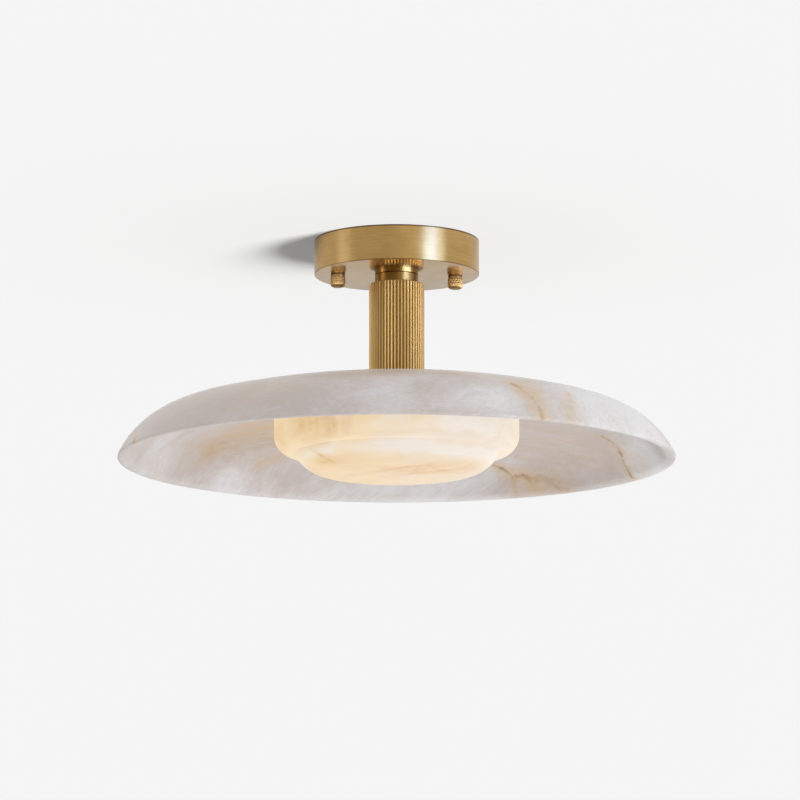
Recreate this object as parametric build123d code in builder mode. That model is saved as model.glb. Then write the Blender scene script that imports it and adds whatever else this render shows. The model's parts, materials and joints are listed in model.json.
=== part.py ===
from build123d import *
import math
import os

# Alabaster ceiling lamp: a brass canopy and fluted stem carry a shallow turned stone shade,
# and a stepped stone diffuser hangs under it on a bayonet.
# Millimetres. The ceiling is the plane z = 0, the lamp's axis is Z and everything hangs below.

# Clearances
hole_clearance = 0.25
thread_clearance = 0.05
glue_gap = 0.2
bayonet_clearance = 0.4

# Ceiling canopy, a spun brass cup
canopy_diameter = 119.0
canopy_height = 25.0
canopy_wall = 1.5
canopy_edge_round = 0.7

# Studs and the knurled finger nuts that hold the canopy up
stud_inset = 17.0
stud_diameter = 4.0
stud_head_diameter = 7.6
stud_head_height = 2.6
stud_engagement = 6.5
locknut_flats = 7.0
locknut_height = 3.2
finger_nut_neck_diameter = 10.2
finger_nut_neck_height = 2.0
finger_nut_diameter = 11.0
finger_nut_band_height = 4.8
finger_nut_end_height = 2.6
finger_nut_end_round = 2.5
finger_nut_chamfer = 0.3
finger_nut_bore_spare = 0.5

# Ceiling bracket, a bent steel strap
bracket_width = 24.0
bracket_thickness = 2.0
bracket_drop = 4.0
bracket_bend_run = 3.0
bracket_tab_inset = 6.0
bracket_tab_overhang = 5.5
bracket_corner_round = 3.0
cable_hole_diameter = 16.0
ceiling_slot_spacing = 50.0
ceiling_slot_length = 10.0
ceiling_slot_width = 5.2
earth_screw_diameter = 4.0
earth_screw_head_diameter = 7.0
earth_screw_head_height = 2.4
earth_screw_recess = 0.2
earth_washer_diameter = 7.8
earth_washer_thickness = 0.8

# Hollow threaded tube that ties the stack together, with its nuts and bushes
tube_diameter = 10.0
tube_bore = 7.0
tube_end_length = 1.5
tube_nut_flats = 14.0
tube_nut_height = 5.0
canopy_washer_diameter = 24.0
canopy_washer_thickness = 1.5
bush_flange_diameter = 9.6
bush_flange_thickness = 1.5
bush_spigot_length = 5.0
bush_spigot_clearance = 0.1

# Collar and fluted stem
collar_diameter = 31.3
collar_height = 6.9
collar_chamfer = 0.3
stem_diameter = 40.0
stem_length = 71.3
stem_wall = 5.0
stem_web = 6.0
stem_chamfer = 0.5
flute_count = 52
flute_radius = 0.68
flute_start_angle = 2.3

# Shade, turned alabaster: a shallow crown that runs into a tight shoulder and a thin-edged rim,
# which is rolled in to the inside
shade_rim_diameter = 401.6
shade_height = 57.0
shade_shoulder_radius = 66.0
shade_rim_angle = 66.0
shade_wall = 7.0
shade_rim_round = 1.4
shade_rim_roll = 8.0
shade_hole_clearance = 1.5
shade_seat_margin = 2.0
stem_gasket_thickness = 1.0
stem_gasket_inset = 0.5
shade_gasket_diameter = 60.0
shade_gasket_thickness = 1.0
clamp_disc_inset = 2.0
clamp_disc_thickness = 2.0

# Diffuser, a stepped alabaster bowl
diffuser_diameter = 176.0
diffuser_height = 43.5
diffuser_wall = 7.0
diffuser_step_height = 14.5
diffuser_step_ledge = 1.8
diffuser_upper_round = 13.0
diffuser_lower_round = 28.0
diffuser_edge_round = 1.0

# Carrier plate with its bayonet, and the ring bonded into the diffuser
carrier_gap = 7.0
carrier_inset = 1.0
carrier_thickness = 1.5
carrier_spacer_diameter = 14.0
seal_inset = 1.5
seal_thickness = 1.5
skirt_wall = 1.5
skirt_depth = 9.5
lug_thickness = 1.5
tab_thickness = 1.5
tab_angle = 24.0
tab_reach = 4.0
stop_angle = 2.5
stop_gap_angle = 0.5
bayonet_count = 3
ring_wall = 1.8
ring_inset = 0.5
ring_height = 9.5

# Light engine
heat_sink_margin = 12.0
heat_sink_thickness = 3.0
board_margin = 2.0
board_thickness = 1.6
board_hole_diameter = 24.0
led_size = 3.0
led_height = 0.7
led_rim_margin = 10.0
led_ring_step = 15.0
led_outer_count = 18
led_inner_count = 12
led_screw_count = 4
led_screw_diameter = 3.0
led_screw_head_diameter = 5.5
led_screw_head_height = 1.8
led_screw_margin = 4.0
led_screw_angle = 45.0
connector_length = 8.0
connector_width = 7.0
connector_height = 4.0
connector_reach = 24.0

# Driver, terminal block and leads inside the canopy
driver_length = 48.0
driver_width = 22.0
driver_case_height = 8.0
driver_cover_thickness = 1.5
driver_corner_round = 2.5
driver_pad_inset = 2.0
driver_pad_thickness = 1.0
driver_gap = 1.0
driver_socket_depth = 3.0
terminal_pitch = 7.0
terminal_ways = 3
terminal_end = 1.0
terminal_depth = 16.0
terminal_height = 12.0
terminal_offset = 12.0
terminal_gap = 2.0
terminal_groove_width = 1.0
terminal_groove_depth = 3.0
terminal_bore = 3.2
terminal_screw_diameter = 3.0
terminal_screw_sink = 1.0
mains_lead_diameter = 2.2
mains_lead_height = 5.0
led_lead_diameter = 4.0
led_lead_headroom = 0.5
led_lead_straight = 1.0
led_lead_bend_share = 0.45

# Radii
canopy_r = canopy_diameter / 2
stud_r = stud_diameter / 2
tube_r = tube_diameter / 2
passage_r = tube_r + hole_clearance
thread_r = tube_r + thread_clearance
stem_r = stem_diameter / 2
bowl_r = diffuser_diameter / 2
bowl_inner_r = bowl_r - diffuser_wall
ring_outer_r = bowl_inner_r - glue_gap
ring_inner_r = ring_outer_r - ring_wall
lug_outer_r = ring_inner_r - bayonet_clearance
tab_inner_r = ring_inner_r - tab_reach
skirt_r = tab_inner_r - bayonet_clearance
skirt_inner_r = skirt_r - skirt_wall
carrier_r = bowl_r - carrier_inset
heat_sink_r = skirt_inner_r - heat_sink_margin
board_r = heat_sink_r - board_margin
led_outer_r = board_r - led_rim_margin
led_inner_r = led_outer_r - led_ring_step
led_screw_r = board_r - led_screw_margin
stone_hole_r = tube_r + shade_hole_clearance
shade_seat_r = stem_r + shade_seat_margin
shade_gasket_r = shade_gasket_diameter / 2
shade_inner_seat_r = shade_gasket_r + shade_seat_margin

# Shade curves, worked out with the rim's lower plane at height 0:
# the crown's radius is the one that makes it tangent to the shoulder
rim_r = shade_rim_diameter / 2
rim_slope = math.radians(shade_rim_angle)
shoulder_x = rim_r - shade_shoulder_radius * math.sin(rim_slope)
shoulder_z = -shade_shoulder_radius * math.cos(rim_slope)
apex_drop = shoulder_z - shade_height
crown_radius = (shoulder_x**2 + apex_drop**2 - shade_shoulder_radius**2) / (
    -2 * (apex_drop + shade_shoulder_radius)
)
crown_z = shade_height - crown_radius
crown_angle = math.degrees(math.atan2(shoulder_x, shoulder_z - crown_z))
crown_inner_radius = crown_radius - shade_wall
shoulder_inner_radius = shade_shoulder_radius - shade_wall
rim_inner_angle = math.degrees(math.acos(-shoulder_z / shoulder_inner_radius))


def crown_height(radius, reach):
    """The height of a crown of this radius above the rim plane, at a distance from the axis."""
    return crown_z + math.sqrt(radius**2 - reach**2)


# Heights, from the ceiling down
canopy_floor = -canopy_height + canopy_wall
canopy_nut_base = canopy_floor + canopy_washer_thickness
tube_top = canopy_nut_base + tube_nut_height + tube_end_length
collar_bottom = -canopy_height - collar_height
stem_bottom = collar_bottom - stem_length
shade_seat = stem_bottom - stem_gasket_thickness
rim_z = shade_seat - crown_height(crown_radius, shade_seat_r)
shade_inner_seat = rim_z + crown_height(crown_inner_radius, shade_inner_seat_r)
clamp_top = shade_inner_seat - shade_gasket_thickness
shade_nut_top = clamp_top - clamp_disc_thickness
shade_nut_bottom = shade_nut_top - tube_nut_height
carrier_top = rim_z + crown_height(crown_inner_radius, carrier_r) - carrier_gap
carrier_bottom = carrier_top - carrier_thickness
carrier_nut_bottom = carrier_bottom - tube_nut_height
tube_bottom = carrier_nut_bottom - tube_end_length
diffuser_top = carrier_bottom - seal_thickness
diffuser_bottom = diffuser_top - diffuser_height
skirt_bottom = carrier_bottom - skirt_depth
lug_top = skirt_bottom + lug_thickness
ring_top = diffuser_top - ring_inset
board_top = carrier_bottom - heat_sink_thickness
board_bottom = board_top - board_thickness
connector_bottom = board_bottom - connector_height
tab_top = -bracket_drop
tab_bottom = tab_top - bracket_thickness
stud_end = -canopy_height - stud_engagement
driver_base = canopy_floor + driver_pad_thickness
driver_case_top = driver_base + driver_case_height
mains_lead_z = canopy_floor + mains_lead_height
terminal_top = canopy_floor + terminal_height

# Places
stud_x = canopy_r - stud_inset
stud_places = [(-stud_x, 0), (stud_x, 0)]
slot_places = [(-ceiling_slot_spacing / 2, 0), (ceiling_slot_spacing / 2, 0)]
slot_inner_end = (ceiling_slot_spacing - ceiling_slot_length) / 2
earth_place = ((cable_hole_diameter / 2 + slot_inner_end) / 2, 0)
driver_near_y = canopy_washer_diameter / 2 + driver_gap
driver_y = driver_near_y + driver_width / 2
terminal_near_y = -canopy_washer_diameter / 2 - terminal_gap
terminal_y = terminal_near_y - terminal_depth / 2
way_places = [
    terminal_offset + (way - (terminal_ways - 1) / 2) * terminal_pitch for way in range(terminal_ways)
]
neutral_x = way_places[1]
live_x = way_places[2]


def level(height):
    """A horizontal sketch plane at a height."""
    return Plane.XY.offset(height)


def upright(height, x=0):
    """A sketch plane along X and Z, with its origin at a height on the axis or beside it."""
    return Plane(origin=(x, 0, height), x_dir=(1, 0, 0), z_dir=(0, -1, 0))


def ring_sector(inner_r, outer_r, start, sweep):
    """A sketch of part of a flat ring, between two angles."""
    with BuildSketch() as sector:
        with BuildLine():
            outer = CenterArc((0, 0), outer_r, start, sweep)
            inner = CenterArc((0, 0), inner_r, start, sweep)
            Line(outer @ 0, inner @ 0)
            Line(outer @ 1, inner @ 1)
        make_face()
    return sector.sketch


def flat_ring(outer_r, inner_r, top, thickness):
    """A washer, gasket, spacer or collar: a flat ring hung below a height."""
    with BuildPart() as ring:
        with BuildSketch(level(top)):
            Circle(outer_r)
            Circle(inner_r, mode=Mode.SUBTRACT)
        extrude(amount=-thickness)
    return ring


def hex_nut(flats, bore_r, top, height, places):
    """One or more hexagon nuts with plain bores, hung below a height."""
    with BuildPart() as nut:
        with BuildSketch(level(top)):
            with Locations(*places):
                RegularPolygon(flats / 2, 6, major_radius=False)
                Circle(bore_r, mode=Mode.SUBTRACT)
        extrude(amount=-height)
    return nut


def finger_nut(x):
    """A blind knurled nut: a neck against the canopy, a wider band and a rounded end."""
    neck_r = finger_nut_neck_diameter / 2
    band_r = finger_nut_diameter / 2
    band_top = -finger_nut_neck_height
    end = band_top - finger_nut_band_height - finger_nut_end_height
    bore_end = -stud_engagement - finger_nut_bore_spare
    bore_r = stud_r + thread_clearance
    axis = Axis((x, 0, 0), (0, 0, 1))
    with BuildPart() as nut:
        with BuildSketch(upright(-canopy_height, x)):
            with BuildLine():
                Polyline(
                    (bore_r, 0),
                    (neck_r, 0),
                    (neck_r, band_top),
                    (band_r, band_top),
                    (band_r, end),
                    (0, end),
                    (0, bore_end),
                    (bore_r, bore_end),
                    close=True,
                )
            make_face()
        revolve(axis=axis)
        rims = nut.edges().filter_by(GeomType.CIRCLE).group_by(SortBy.RADIUS)[-1].sort_by(Axis.Z)
        fillet(rims[0], finger_nut_end_round)
        rims = nut.edges().filter_by(GeomType.CIRCLE).group_by(SortBy.RADIUS)[-1].sort_by(Axis.Z)
        chamfer(rims[-1], finger_nut_chamfer)
    return nut


os.makedirs("parts", exist_ok=True)

# Ceiling bracket: a strap bent down at both ends, with slots for the ceiling screws
tab_start = stud_x - bracket_tab_inset
bend_start = tab_start - bracket_bend_run
tab_end = stud_x + bracket_tab_overhang

with BuildPart() as ceiling_bracket:
    with BuildSketch(Plane.XZ):
        with BuildLine():
            Polyline(
                (0, 0),
                (bend_start, 0),
                (tab_start, tab_top),
                (tab_end, tab_top),
                (tab_end, tab_bottom),
                (tab_start, tab_bottom),
                (bend_start, -bracket_thickness),
                (0, -bracket_thickness),
                close=True,
            )
        make_face()
        mirror(about=Plane.YZ)
    extrude(amount=bracket_width / 2, both=True)
    fillet(ceiling_bracket.edges().filter_by(Axis.Z), bracket_corner_round)
    with BuildSketch():
        Circle(cable_hole_diameter / 2)
        with Locations(*slot_places):
            SlotOverall(ceiling_slot_length, ceiling_slot_width)
        with Locations(earth_place):
            Circle(earth_screw_diameter / 2 + thread_clearance)
    extrude(amount=-bracket_thickness, mode=Mode.SUBTRACT)
    with BuildSketch(level(tab_top)):
        with Locations(*stud_places):
            Circle(stud_r + thread_clearance)
    extrude(amount=-bracket_thickness, mode=Mode.SUBTRACT)
ceiling_bracket.part.label = "ceiling_bracket"
export_step(ceiling_bracket.part, "parts/ceiling_bracket.step")

# Two machine screws hang from the strap's ends as studs
with BuildPart() as bracket_studs:
    with BuildSketch(level(tab_top)):
        with Locations(*stud_places):
            Circle(stud_head_diameter / 2)
    extrude(amount=stud_head_height)
    with BuildSketch(level(tab_top)):
        with Locations(*stud_places):
            Circle(stud_r)
    extrude(amount=stud_end - tab_top)
bracket_studs.part.label = "bracket_studs"
export_step(bracket_studs.part, "parts/bracket_studs.step")

stud_locknuts = hex_nut(locknut_flats, stud_r + thread_clearance, tab_bottom, locknut_height, stud_places)
stud_locknuts.part.label = "stud_locknuts"
export_step(stud_locknuts.part, "parts/stud_locknuts.step")

# Earth screw under the strap, with its washer
earth_washer_bottom = -bracket_thickness - earth_washer_thickness

with BuildPart() as earth_washer:
    with BuildSketch(level(-bracket_thickness)):
        with Locations(earth_place):
            Circle(earth_washer_diameter / 2)
            Circle(earth_screw_diameter / 2 + hole_clearance, mode=Mode.SUBTRACT)
    extrude(amount=-earth_washer_thickness)
earth_washer.part.label = "earth_washer"
export_step(earth_washer.part, "parts/earth_washer.step")

with BuildPart() as earth_screw:
    with BuildSketch(level(earth_washer_bottom)):
        with Locations(earth_place):
            Circle(earth_screw_head_diameter / 2)
    extrude(amount=-earth_screw_head_height)
    with BuildSketch(level(earth_washer_bottom)):
        with Locations(earth_place):
            Circle(earth_screw_diameter / 2)
    extrude(amount=-earth_washer_bottom - earth_screw_recess)
earth_screw.part.label = "earth_screw"
export_step(earth_screw.part, "parts/earth_screw.step")

# Canopy: an open cup, closed below, with holes for the tube and the two studs
with BuildPart() as canopy:
    with BuildSketch(Plane.XZ):
        with BuildLine():
            Polyline(
                (passage_r, -canopy_height),
                (canopy_r, -canopy_height),
                (canopy_r, 0),
                (canopy_r - canopy_wall, 0),
                (canopy_r - canopy_wall, canopy_floor),
                (passage_r, canopy_floor),
                close=True,
            )
        make_face()
    revolve(axis=Axis.Z)
    fillet(
        canopy.edges().filter_by(GeomType.CIRCLE).group_by(Axis.Z)[0].sort_by(SortBy.RADIUS)[-1],
        canopy_edge_round,
    )
    with BuildSketch(level(-canopy_height)):
        with Locations(*stud_places):
            Circle(stud_r + hole_clearance)
    extrude(amount=canopy_wall, mode=Mode.SUBTRACT)
canopy.part.label = "canopy"
export_step(canopy.part, "parts/canopy.step")

canopy_nut_left = finger_nut(-stud_x)
canopy_nut_left.part.label = "canopy_nut_left"
export_step(canopy_nut_left.part, "parts/canopy_nut_left.step")

canopy_nut_right = finger_nut(stud_x)
canopy_nut_right.part.label = "canopy_nut_right"
export_step(canopy_nut_right.part, "parts/canopy_nut_right.step")

# Hollow tube from the canopy down to the light engine, with a nut at each clamped joint
with BuildPart() as threaded_tube:
    with BuildSketch(level(tube_top)):
        Circle(tube_r)
        Circle(tube_bore / 2, mode=Mode.SUBTRACT)
    extrude(amount=tube_bottom - tube_top)
threaded_tube.part.label = "threaded_tube"
export_step(threaded_tube.part, "parts/threaded_tube.step")

canopy_washer = flat_ring(canopy_washer_diameter / 2, passage_r, canopy_nut_base, canopy_washer_thickness)
canopy_washer.part.label = "canopy_washer"
export_step(canopy_washer.part, "parts/canopy_washer.step")

canopy_nut_top = canopy_nut_base + tube_nut_height
canopy_locknut = hex_nut(tube_nut_flats, thread_r, canopy_nut_top, tube_nut_height, [(0, 0)])
canopy_locknut.part.label = "canopy_locknut"
export_step(canopy_locknut.part, "parts/canopy_locknut.step")

# Plastic bushes in both ends of the tube keep the lead off the cut edges
bush_bore_r = led_lead_diameter / 2 + hole_clearance
bush_spigot_r = tube_bore / 2 - bush_spigot_clearance

with BuildPart() as tube_bushes:
    with BuildSketch(upright(tube_top)):
        with BuildLine():
            Polyline(
                (bush_bore_r, bush_flange_thickness),
                (bush_flange_diameter / 2, bush_flange_thickness),
                (bush_flange_diameter / 2, 0),
                (bush_spigot_r, 0),
                (bush_spigot_r, -bush_spigot_length),
                (bush_bore_r, -bush_spigot_length),
                close=True,
            )
        make_face()
    revolve(axis=Axis.Z)
    mirror(about=level((tube_top + tube_bottom) / 2))
tube_bushes.part.label = "tube_bushes"
export_step(tube_bushes.part, "parts/tube_bushes.step")

# Collar between canopy and stem
with BuildPart() as collar:
    with BuildSketch(level(-canopy_height)):
        Circle(collar_diameter / 2)
        Circle(passage_r, mode=Mode.SUBTRACT)
    extrude(amount=-collar_height)
    chamfer(collar.edges().filter_by(GeomType.CIRCLE).group_by(SortBy.RADIUS)[-1], collar_chamfer)
collar.part.label = "collar"
export_step(collar.part, "parts/collar.step")

# Stem: a thick tube closed by a web at the top, with round flutes cut along its whole length
stem_web_bottom = stem_length - stem_web

with BuildPart() as stem:
    with BuildSketch(upright(stem_bottom)):
        with BuildLine():
            Polyline(
                (stem_r - stem_wall, 0),
                (stem_r - stem_chamfer, 0),
                (stem_r, stem_chamfer),
                (stem_r, stem_length - stem_chamfer),
                (stem_r - stem_chamfer, stem_length),
                (passage_r, stem_length),
                (passage_r, stem_web_bottom),
                (stem_r - stem_wall, stem_web_bottom),
                close=True,
            )
        make_face()
    revolve(axis=Axis.Z)
    with BuildSketch(level(stem_bottom)):
        with PolarLocations(stem_r, flute_count, start_angle=flute_start_angle):
            Circle(flute_radius)
    extrude(amount=stem_length, mode=Mode.SUBTRACT)
stem.part.label = "stem"
export_step(stem.part, "parts/stem.step")

stem_gasket = flat_ring(stem_r - stem_gasket_inset, stone_hole_r, stem_bottom, stem_gasket_thickness)
stem_gasket.part.label = "stem_gasket"
export_step(stem_gasket.part, "parts/stem_gasket.step")

# Shade: outer and inner curves share their centres, so the wall is even,
# with a flat turned for the stem above and for the clamp below
seat_slope = math.degrees(math.asin(shade_seat_r / crown_radius))
inner_seat_slope = math.degrees(math.asin(shade_inner_seat_r / crown_inner_radius))
upright_angle = 90.0

with BuildPart() as shade:
    with BuildSketch(upright(rim_z)):
        with BuildLine():
            crown = CenterArc(
                (0, crown_z), crown_radius, upright_angle - seat_slope, seat_slope - crown_angle
            )
            shoulder = CenterArc(
                (shoulder_x, shoulder_z),
                shade_shoulder_radius,
                upright_angle - crown_angle,
                crown_angle - shade_rim_angle,
            )
            inner_shoulder = CenterArc(
                (shoulder_x, shoulder_z),
                shoulder_inner_radius,
                upright_angle - rim_inner_angle,
                rim_inner_angle - crown_angle,
            )
            inner_crown = CenterArc(
                (0, crown_z),
                crown_inner_radius,
                upright_angle - crown_angle,
                crown_angle - inner_seat_slope,
            )
            Line(shoulder @ 1, inner_shoulder @ 0)
            Polyline(
                inner_crown @ 1,
                (stone_hole_r, (inner_crown @ 1).Y),
                (stone_hole_r, (crown @ 0).Y),
                crown @ 0,
            )
        make_face()
    revolve(axis=Axis.Z)
    rims = shade.edges().filter_by(GeomType.CIRCLE).group_by(Axis.Z)[0].sort_by(SortBy.RADIUS)
    fillet(rims[-1], shade_rim_round)
    rims = shade.edges().filter_by(GeomType.CIRCLE).group_by(Axis.Z)[0].sort_by(SortBy.RADIUS)
    fillet(rims[0], shade_rim_roll)
shade.part.label = "shade"
export_step(shade.part, "parts/shade.step")

# Soft sleeve that centres the stone on the tube, and the clamp that holds the shade from below
shade_bush = flat_ring(stone_hole_r - glue_gap, passage_r, shade_seat, shade_seat - shade_inner_seat)
shade_bush.part.label = "shade_bush"
export_step(shade_bush.part, "parts/shade_bush.step")

shade_gasket = flat_ring(shade_gasket_r, passage_r, shade_inner_seat, shade_gasket_thickness)
shade_gasket.part.label = "shade_gasket"
export_step(shade_gasket.part, "parts/shade_gasket.step")

clamp_disc = flat_ring(shade_gasket_r - clamp_disc_inset, passage_r, clamp_top, clamp_disc_thickness)
clamp_disc.part.label = "clamp_disc"
export_step(clamp_disc.part, "parts/clamp_disc.step")

shade_locknut = hex_nut(tube_nut_flats, thread_r, shade_nut_top, tube_nut_height, [(0, 0)])
shade_locknut.part.label = "shade_locknut"
export_step(shade_locknut.part, "parts/shade_locknut.step")

spacer_height = shade_nut_bottom - carrier_top
carrier_spacer = flat_ring(carrier_spacer_diameter / 2, passage_r, shade_nut_bottom, spacer_height)
carrier_spacer.part.label = "carrier_spacer"
export_step(carrier_spacer.part, "parts/carrier_spacer.step")

# Carrier plate: a pressed disc with a skirt, three outward lugs and a stop at the end of each lug
stop_start = tab_angle / 2 + stop_gap_angle
lug_end = stop_start + stop_angle
skirt_middle_r = skirt_r - skirt_wall / 2
lug_shape = ring_sector(skirt_middle_r, lug_outer_r, -lug_end, 2 * lug_end)
stop_shape = ring_sector(skirt_middle_r, lug_outer_r, stop_start, stop_angle)

with BuildPart() as carrier_plate:
    with BuildSketch(level(carrier_top)):
        Circle(carrier_r)
        Circle(passage_r, mode=Mode.SUBTRACT)
        with PolarLocations(led_screw_r, led_screw_count, start_angle=led_screw_angle):
            Circle(led_screw_diameter / 2 + thread_clearance, mode=Mode.SUBTRACT)
    extrude(amount=-carrier_thickness)
    with BuildSketch(level(carrier_bottom)):
        Circle(skirt_r)
        Circle(skirt_inner_r, mode=Mode.SUBTRACT)
    extrude(amount=-skirt_depth)
    with BuildSketch(level(lug_top)):
        with PolarLocations(0, bayonet_count):
            add(lug_shape)
    extrude(amount=-lug_thickness)
    with BuildSketch(level(lug_top)):
        with PolarLocations(0, bayonet_count):
            add(stop_shape)
    extrude(amount=tab_thickness)
carrier_plate.part.label = "carrier_plate"
export_step(carrier_plate.part, "parts/carrier_plate.step")

carrier_locknut = hex_nut(tube_nut_flats, thread_r, carrier_bottom, tube_nut_height, [(0, 0)])
carrier_locknut.part.label = "carrier_locknut"
export_step(carrier_locknut.part, "parts/carrier_locknut.step")

diffuser_seal = flat_ring(bowl_r - seal_inset, bowl_inner_r + seal_inset, carrier_bottom, seal_thickness)
diffuser_seal.part.label = "diffuser_seal"
export_step(diffuser_seal.part, "parts/diffuser_seal.step")

# Light engine under the carrier: an aluminium spreader, a round board and its light-emitting diodes
with BuildPart() as heat_sink:
    with BuildSketch(level(carrier_bottom)):
        Circle(heat_sink_r)
        Circle(board_hole_diameter / 2, mode=Mode.SUBTRACT)
        with PolarLocations(led_screw_r, led_screw_count, start_angle=led_screw_angle):
            Circle(led_screw_diameter / 2 + hole_clearance, mode=Mode.SUBTRACT)
    extrude(amount=-heat_sink_thickness)
heat_sink.part.label = "heat_sink"
export_step(heat_sink.part, "parts/heat_sink.step")

with BuildPart() as led_board:
    with BuildSketch(level(board_top)):
        Circle(board_r)
        Circle(board_hole_diameter / 2, mode=Mode.SUBTRACT)
        with PolarLocations(led_screw_r, led_screw_count, start_angle=led_screw_angle):
            Circle(led_screw_diameter / 2 + hole_clearance, mode=Mode.SUBTRACT)
    extrude(amount=-board_thickness)
led_board.part.label = "led_board"
export_step(led_board.part, "parts/led_board.step")

# The inner ring is turned by half a step, so that the connector stands between two of its diodes
led_inner_start = 180.0 / led_inner_count

with BuildPart() as led_chips:
    with BuildSketch(level(board_bottom)):
        with PolarLocations(led_outer_r, led_outer_count):
            Rectangle(led_size, led_size)
        with PolarLocations(led_inner_r, led_inner_count, start_angle=led_inner_start):
            Rectangle(led_size, led_size)
    extrude(amount=-led_height)
led_chips.part.label = "led_chips"
export_step(led_chips.part, "parts/led_chips.step")

with BuildPart() as led_screws:
    with BuildSketch(level(board_bottom)):
        with PolarLocations(led_screw_r, led_screw_count, start_angle=led_screw_angle):
            Circle(led_screw_head_diameter / 2)
    extrude(amount=-led_screw_head_height)
    with BuildSketch(level(board_bottom)):
        with PolarLocations(led_screw_r, led_screw_count, start_angle=led_screw_angle):
            Circle(led_screw_diameter / 2)
    extrude(amount=carrier_top - board_bottom)
led_screws.part.label = "led_screws"
export_step(led_screws.part, "parts/led_screws.step")

with BuildPart() as led_connector:
    with BuildSketch(level(board_bottom)):
        with Locations((connector_reach, 0)):
            Rectangle(connector_length, connector_width)
    extrude(amount=-connector_height)
led_connector.part.label = "led_connector"
export_step(led_connector.part, "parts/led_connector.step")

# Diffuser: a straight wall, a rounded step, and a rounder lower tier with a flat base
diffuser_ledge = diffuser_step_height
ledge_outer_r = bowl_r - diffuser_upper_round
step_r = ledge_outer_r - diffuser_step_ledge
lower_slope = math.degrees(math.asin((diffuser_lower_round - diffuser_ledge) / diffuser_lower_round))
base_r = step_r - diffuser_lower_round * math.cos(math.radians(lower_slope))
lower_inner_round = diffuser_lower_round - diffuser_wall
upper_inner_round = diffuser_upper_round - diffuser_wall
inner_ledge = diffuser_ledge + diffuser_wall
lower_inner_slope = math.degrees(math.asin((diffuser_lower_round - inner_ledge) / lower_inner_round))
straight_down = -90.0

with BuildPart() as diffuser:
    with BuildSketch(upright(diffuser_bottom)):
        with BuildLine():
            lower_centre = (base_r, diffuser_lower_round)
            upper_centre = (ledge_outer_r, diffuser_ledge + diffuser_upper_round)
            lower = CenterArc(
                lower_centre, diffuser_lower_round, straight_down, upright_angle - lower_slope
            )
            upper = CenterArc(upper_centre, diffuser_upper_round, straight_down, upright_angle)
            inner_upper = CenterArc(upper_centre, upper_inner_round, straight_down, upright_angle)
            inner_lower = CenterArc(
                lower_centre, lower_inner_round, straight_down, upright_angle - lower_inner_slope
            )
            Polyline((0, diffuser_wall), (0, 0), lower @ 0)
            Line(lower @ 1, upper @ 0)
            Polyline(
                upper @ 1,
                (bowl_r, diffuser_height),
                (bowl_inner_r, diffuser_height),
                inner_upper @ 1,
            )
            Line(inner_upper @ 0, inner_lower @ 1)
            Line(inner_lower @ 0, (0, diffuser_wall))
        make_face()
    revolve(axis=Axis.Z)
    fillet(
        diffuser.edges().filter_by(GeomType.CIRCLE).group_by(Axis.Z)[-1].sort_by(SortBy.RADIUS)[-1],
        diffuser_edge_round,
    )
diffuser.part.label = "diffuser"
export_step(diffuser.part, "parts/diffuser.step")

# Metal ring bonded inside the diffuser's mouth: its three tabs hang on the carrier's lugs
tab_shape = ring_sector(tab_inner_r, ring_inner_r + ring_wall / 2, -tab_angle / 2, tab_angle)

with BuildPart() as diffuser_ring:
    with BuildSketch(level(ring_top)):
        Circle(ring_outer_r)
        Circle(ring_inner_r, mode=Mode.SUBTRACT)
    extrude(amount=-ring_height)
    with BuildSketch(level(lug_top)):
        with PolarLocations(0, bayonet_count):
            add(tab_shape)
    extrude(amount=tab_thickness)
diffuser_ring.part.label = "diffuser_ring"
export_step(diffuser_ring.part, "parts/diffuser_ring.step")

# Driver: a moulded case and cover on a foam pad, beside the tube
with BuildPart() as driver_pad:
    with BuildSketch(level(canopy_floor)):
        with Locations((0, driver_y)):
            Rectangle(driver_length - 2 * driver_pad_inset, driver_width - 2 * driver_pad_inset)
    extrude(amount=driver_pad_thickness)
driver_pad.part.label = "driver_pad"
export_step(driver_pad.part, "parts/driver_pad.step")

socket_plane = Plane(origin=(0, driver_near_y, mains_lead_z), x_dir=(1, 0, 0), z_dir=(0, 1, 0))

with BuildPart() as driver_case:
    with BuildSketch(level(driver_base)):
        with Locations((0, driver_y)):
            RectangleRounded(driver_length, driver_width, driver_corner_round)
    extrude(amount=driver_case_height)
    with BuildSketch(socket_plane):
        with Locations((neutral_x, 0), (live_x, 0)):
            Circle(mains_lead_diameter / 2 + hole_clearance)
    extrude(amount=driver_socket_depth, mode=Mode.SUBTRACT)
driver_case.part.label = "driver_case"
export_step(driver_case.part, "parts/driver_case.step")

with BuildPart() as driver_cover:
    with BuildSketch(level(driver_case_top)):
        with Locations((0, driver_y)):
            RectangleRounded(driver_length, driver_width, driver_corner_round)
            Circle(bush_bore_r, mode=Mode.SUBTRACT)
    extrude(amount=driver_cover_thickness)
driver_cover.part.label = "driver_cover"
export_step(driver_cover.part, "parts/driver_cover.step")

# Terminal block: one moulding, a bore for each way, a screw over each bore and grooves between the ways
terminal_length = terminal_ways * terminal_pitch + 2 * terminal_end
terminal_face = Plane(origin=(0, terminal_near_y, mains_lead_z), x_dir=(1, 0, 0), z_dir=(0, -1, 0))
screw_well_r = terminal_screw_diameter / 2 + hole_clearance
screw_bottom = mains_lead_z + mains_lead_diameter / 2
screw_top = terminal_top - terminal_screw_sink
groove_places = [(x + terminal_pitch / 2, terminal_y) for x in way_places[:-1]]
screw_places = [(x, terminal_y) for x in way_places]

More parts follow.
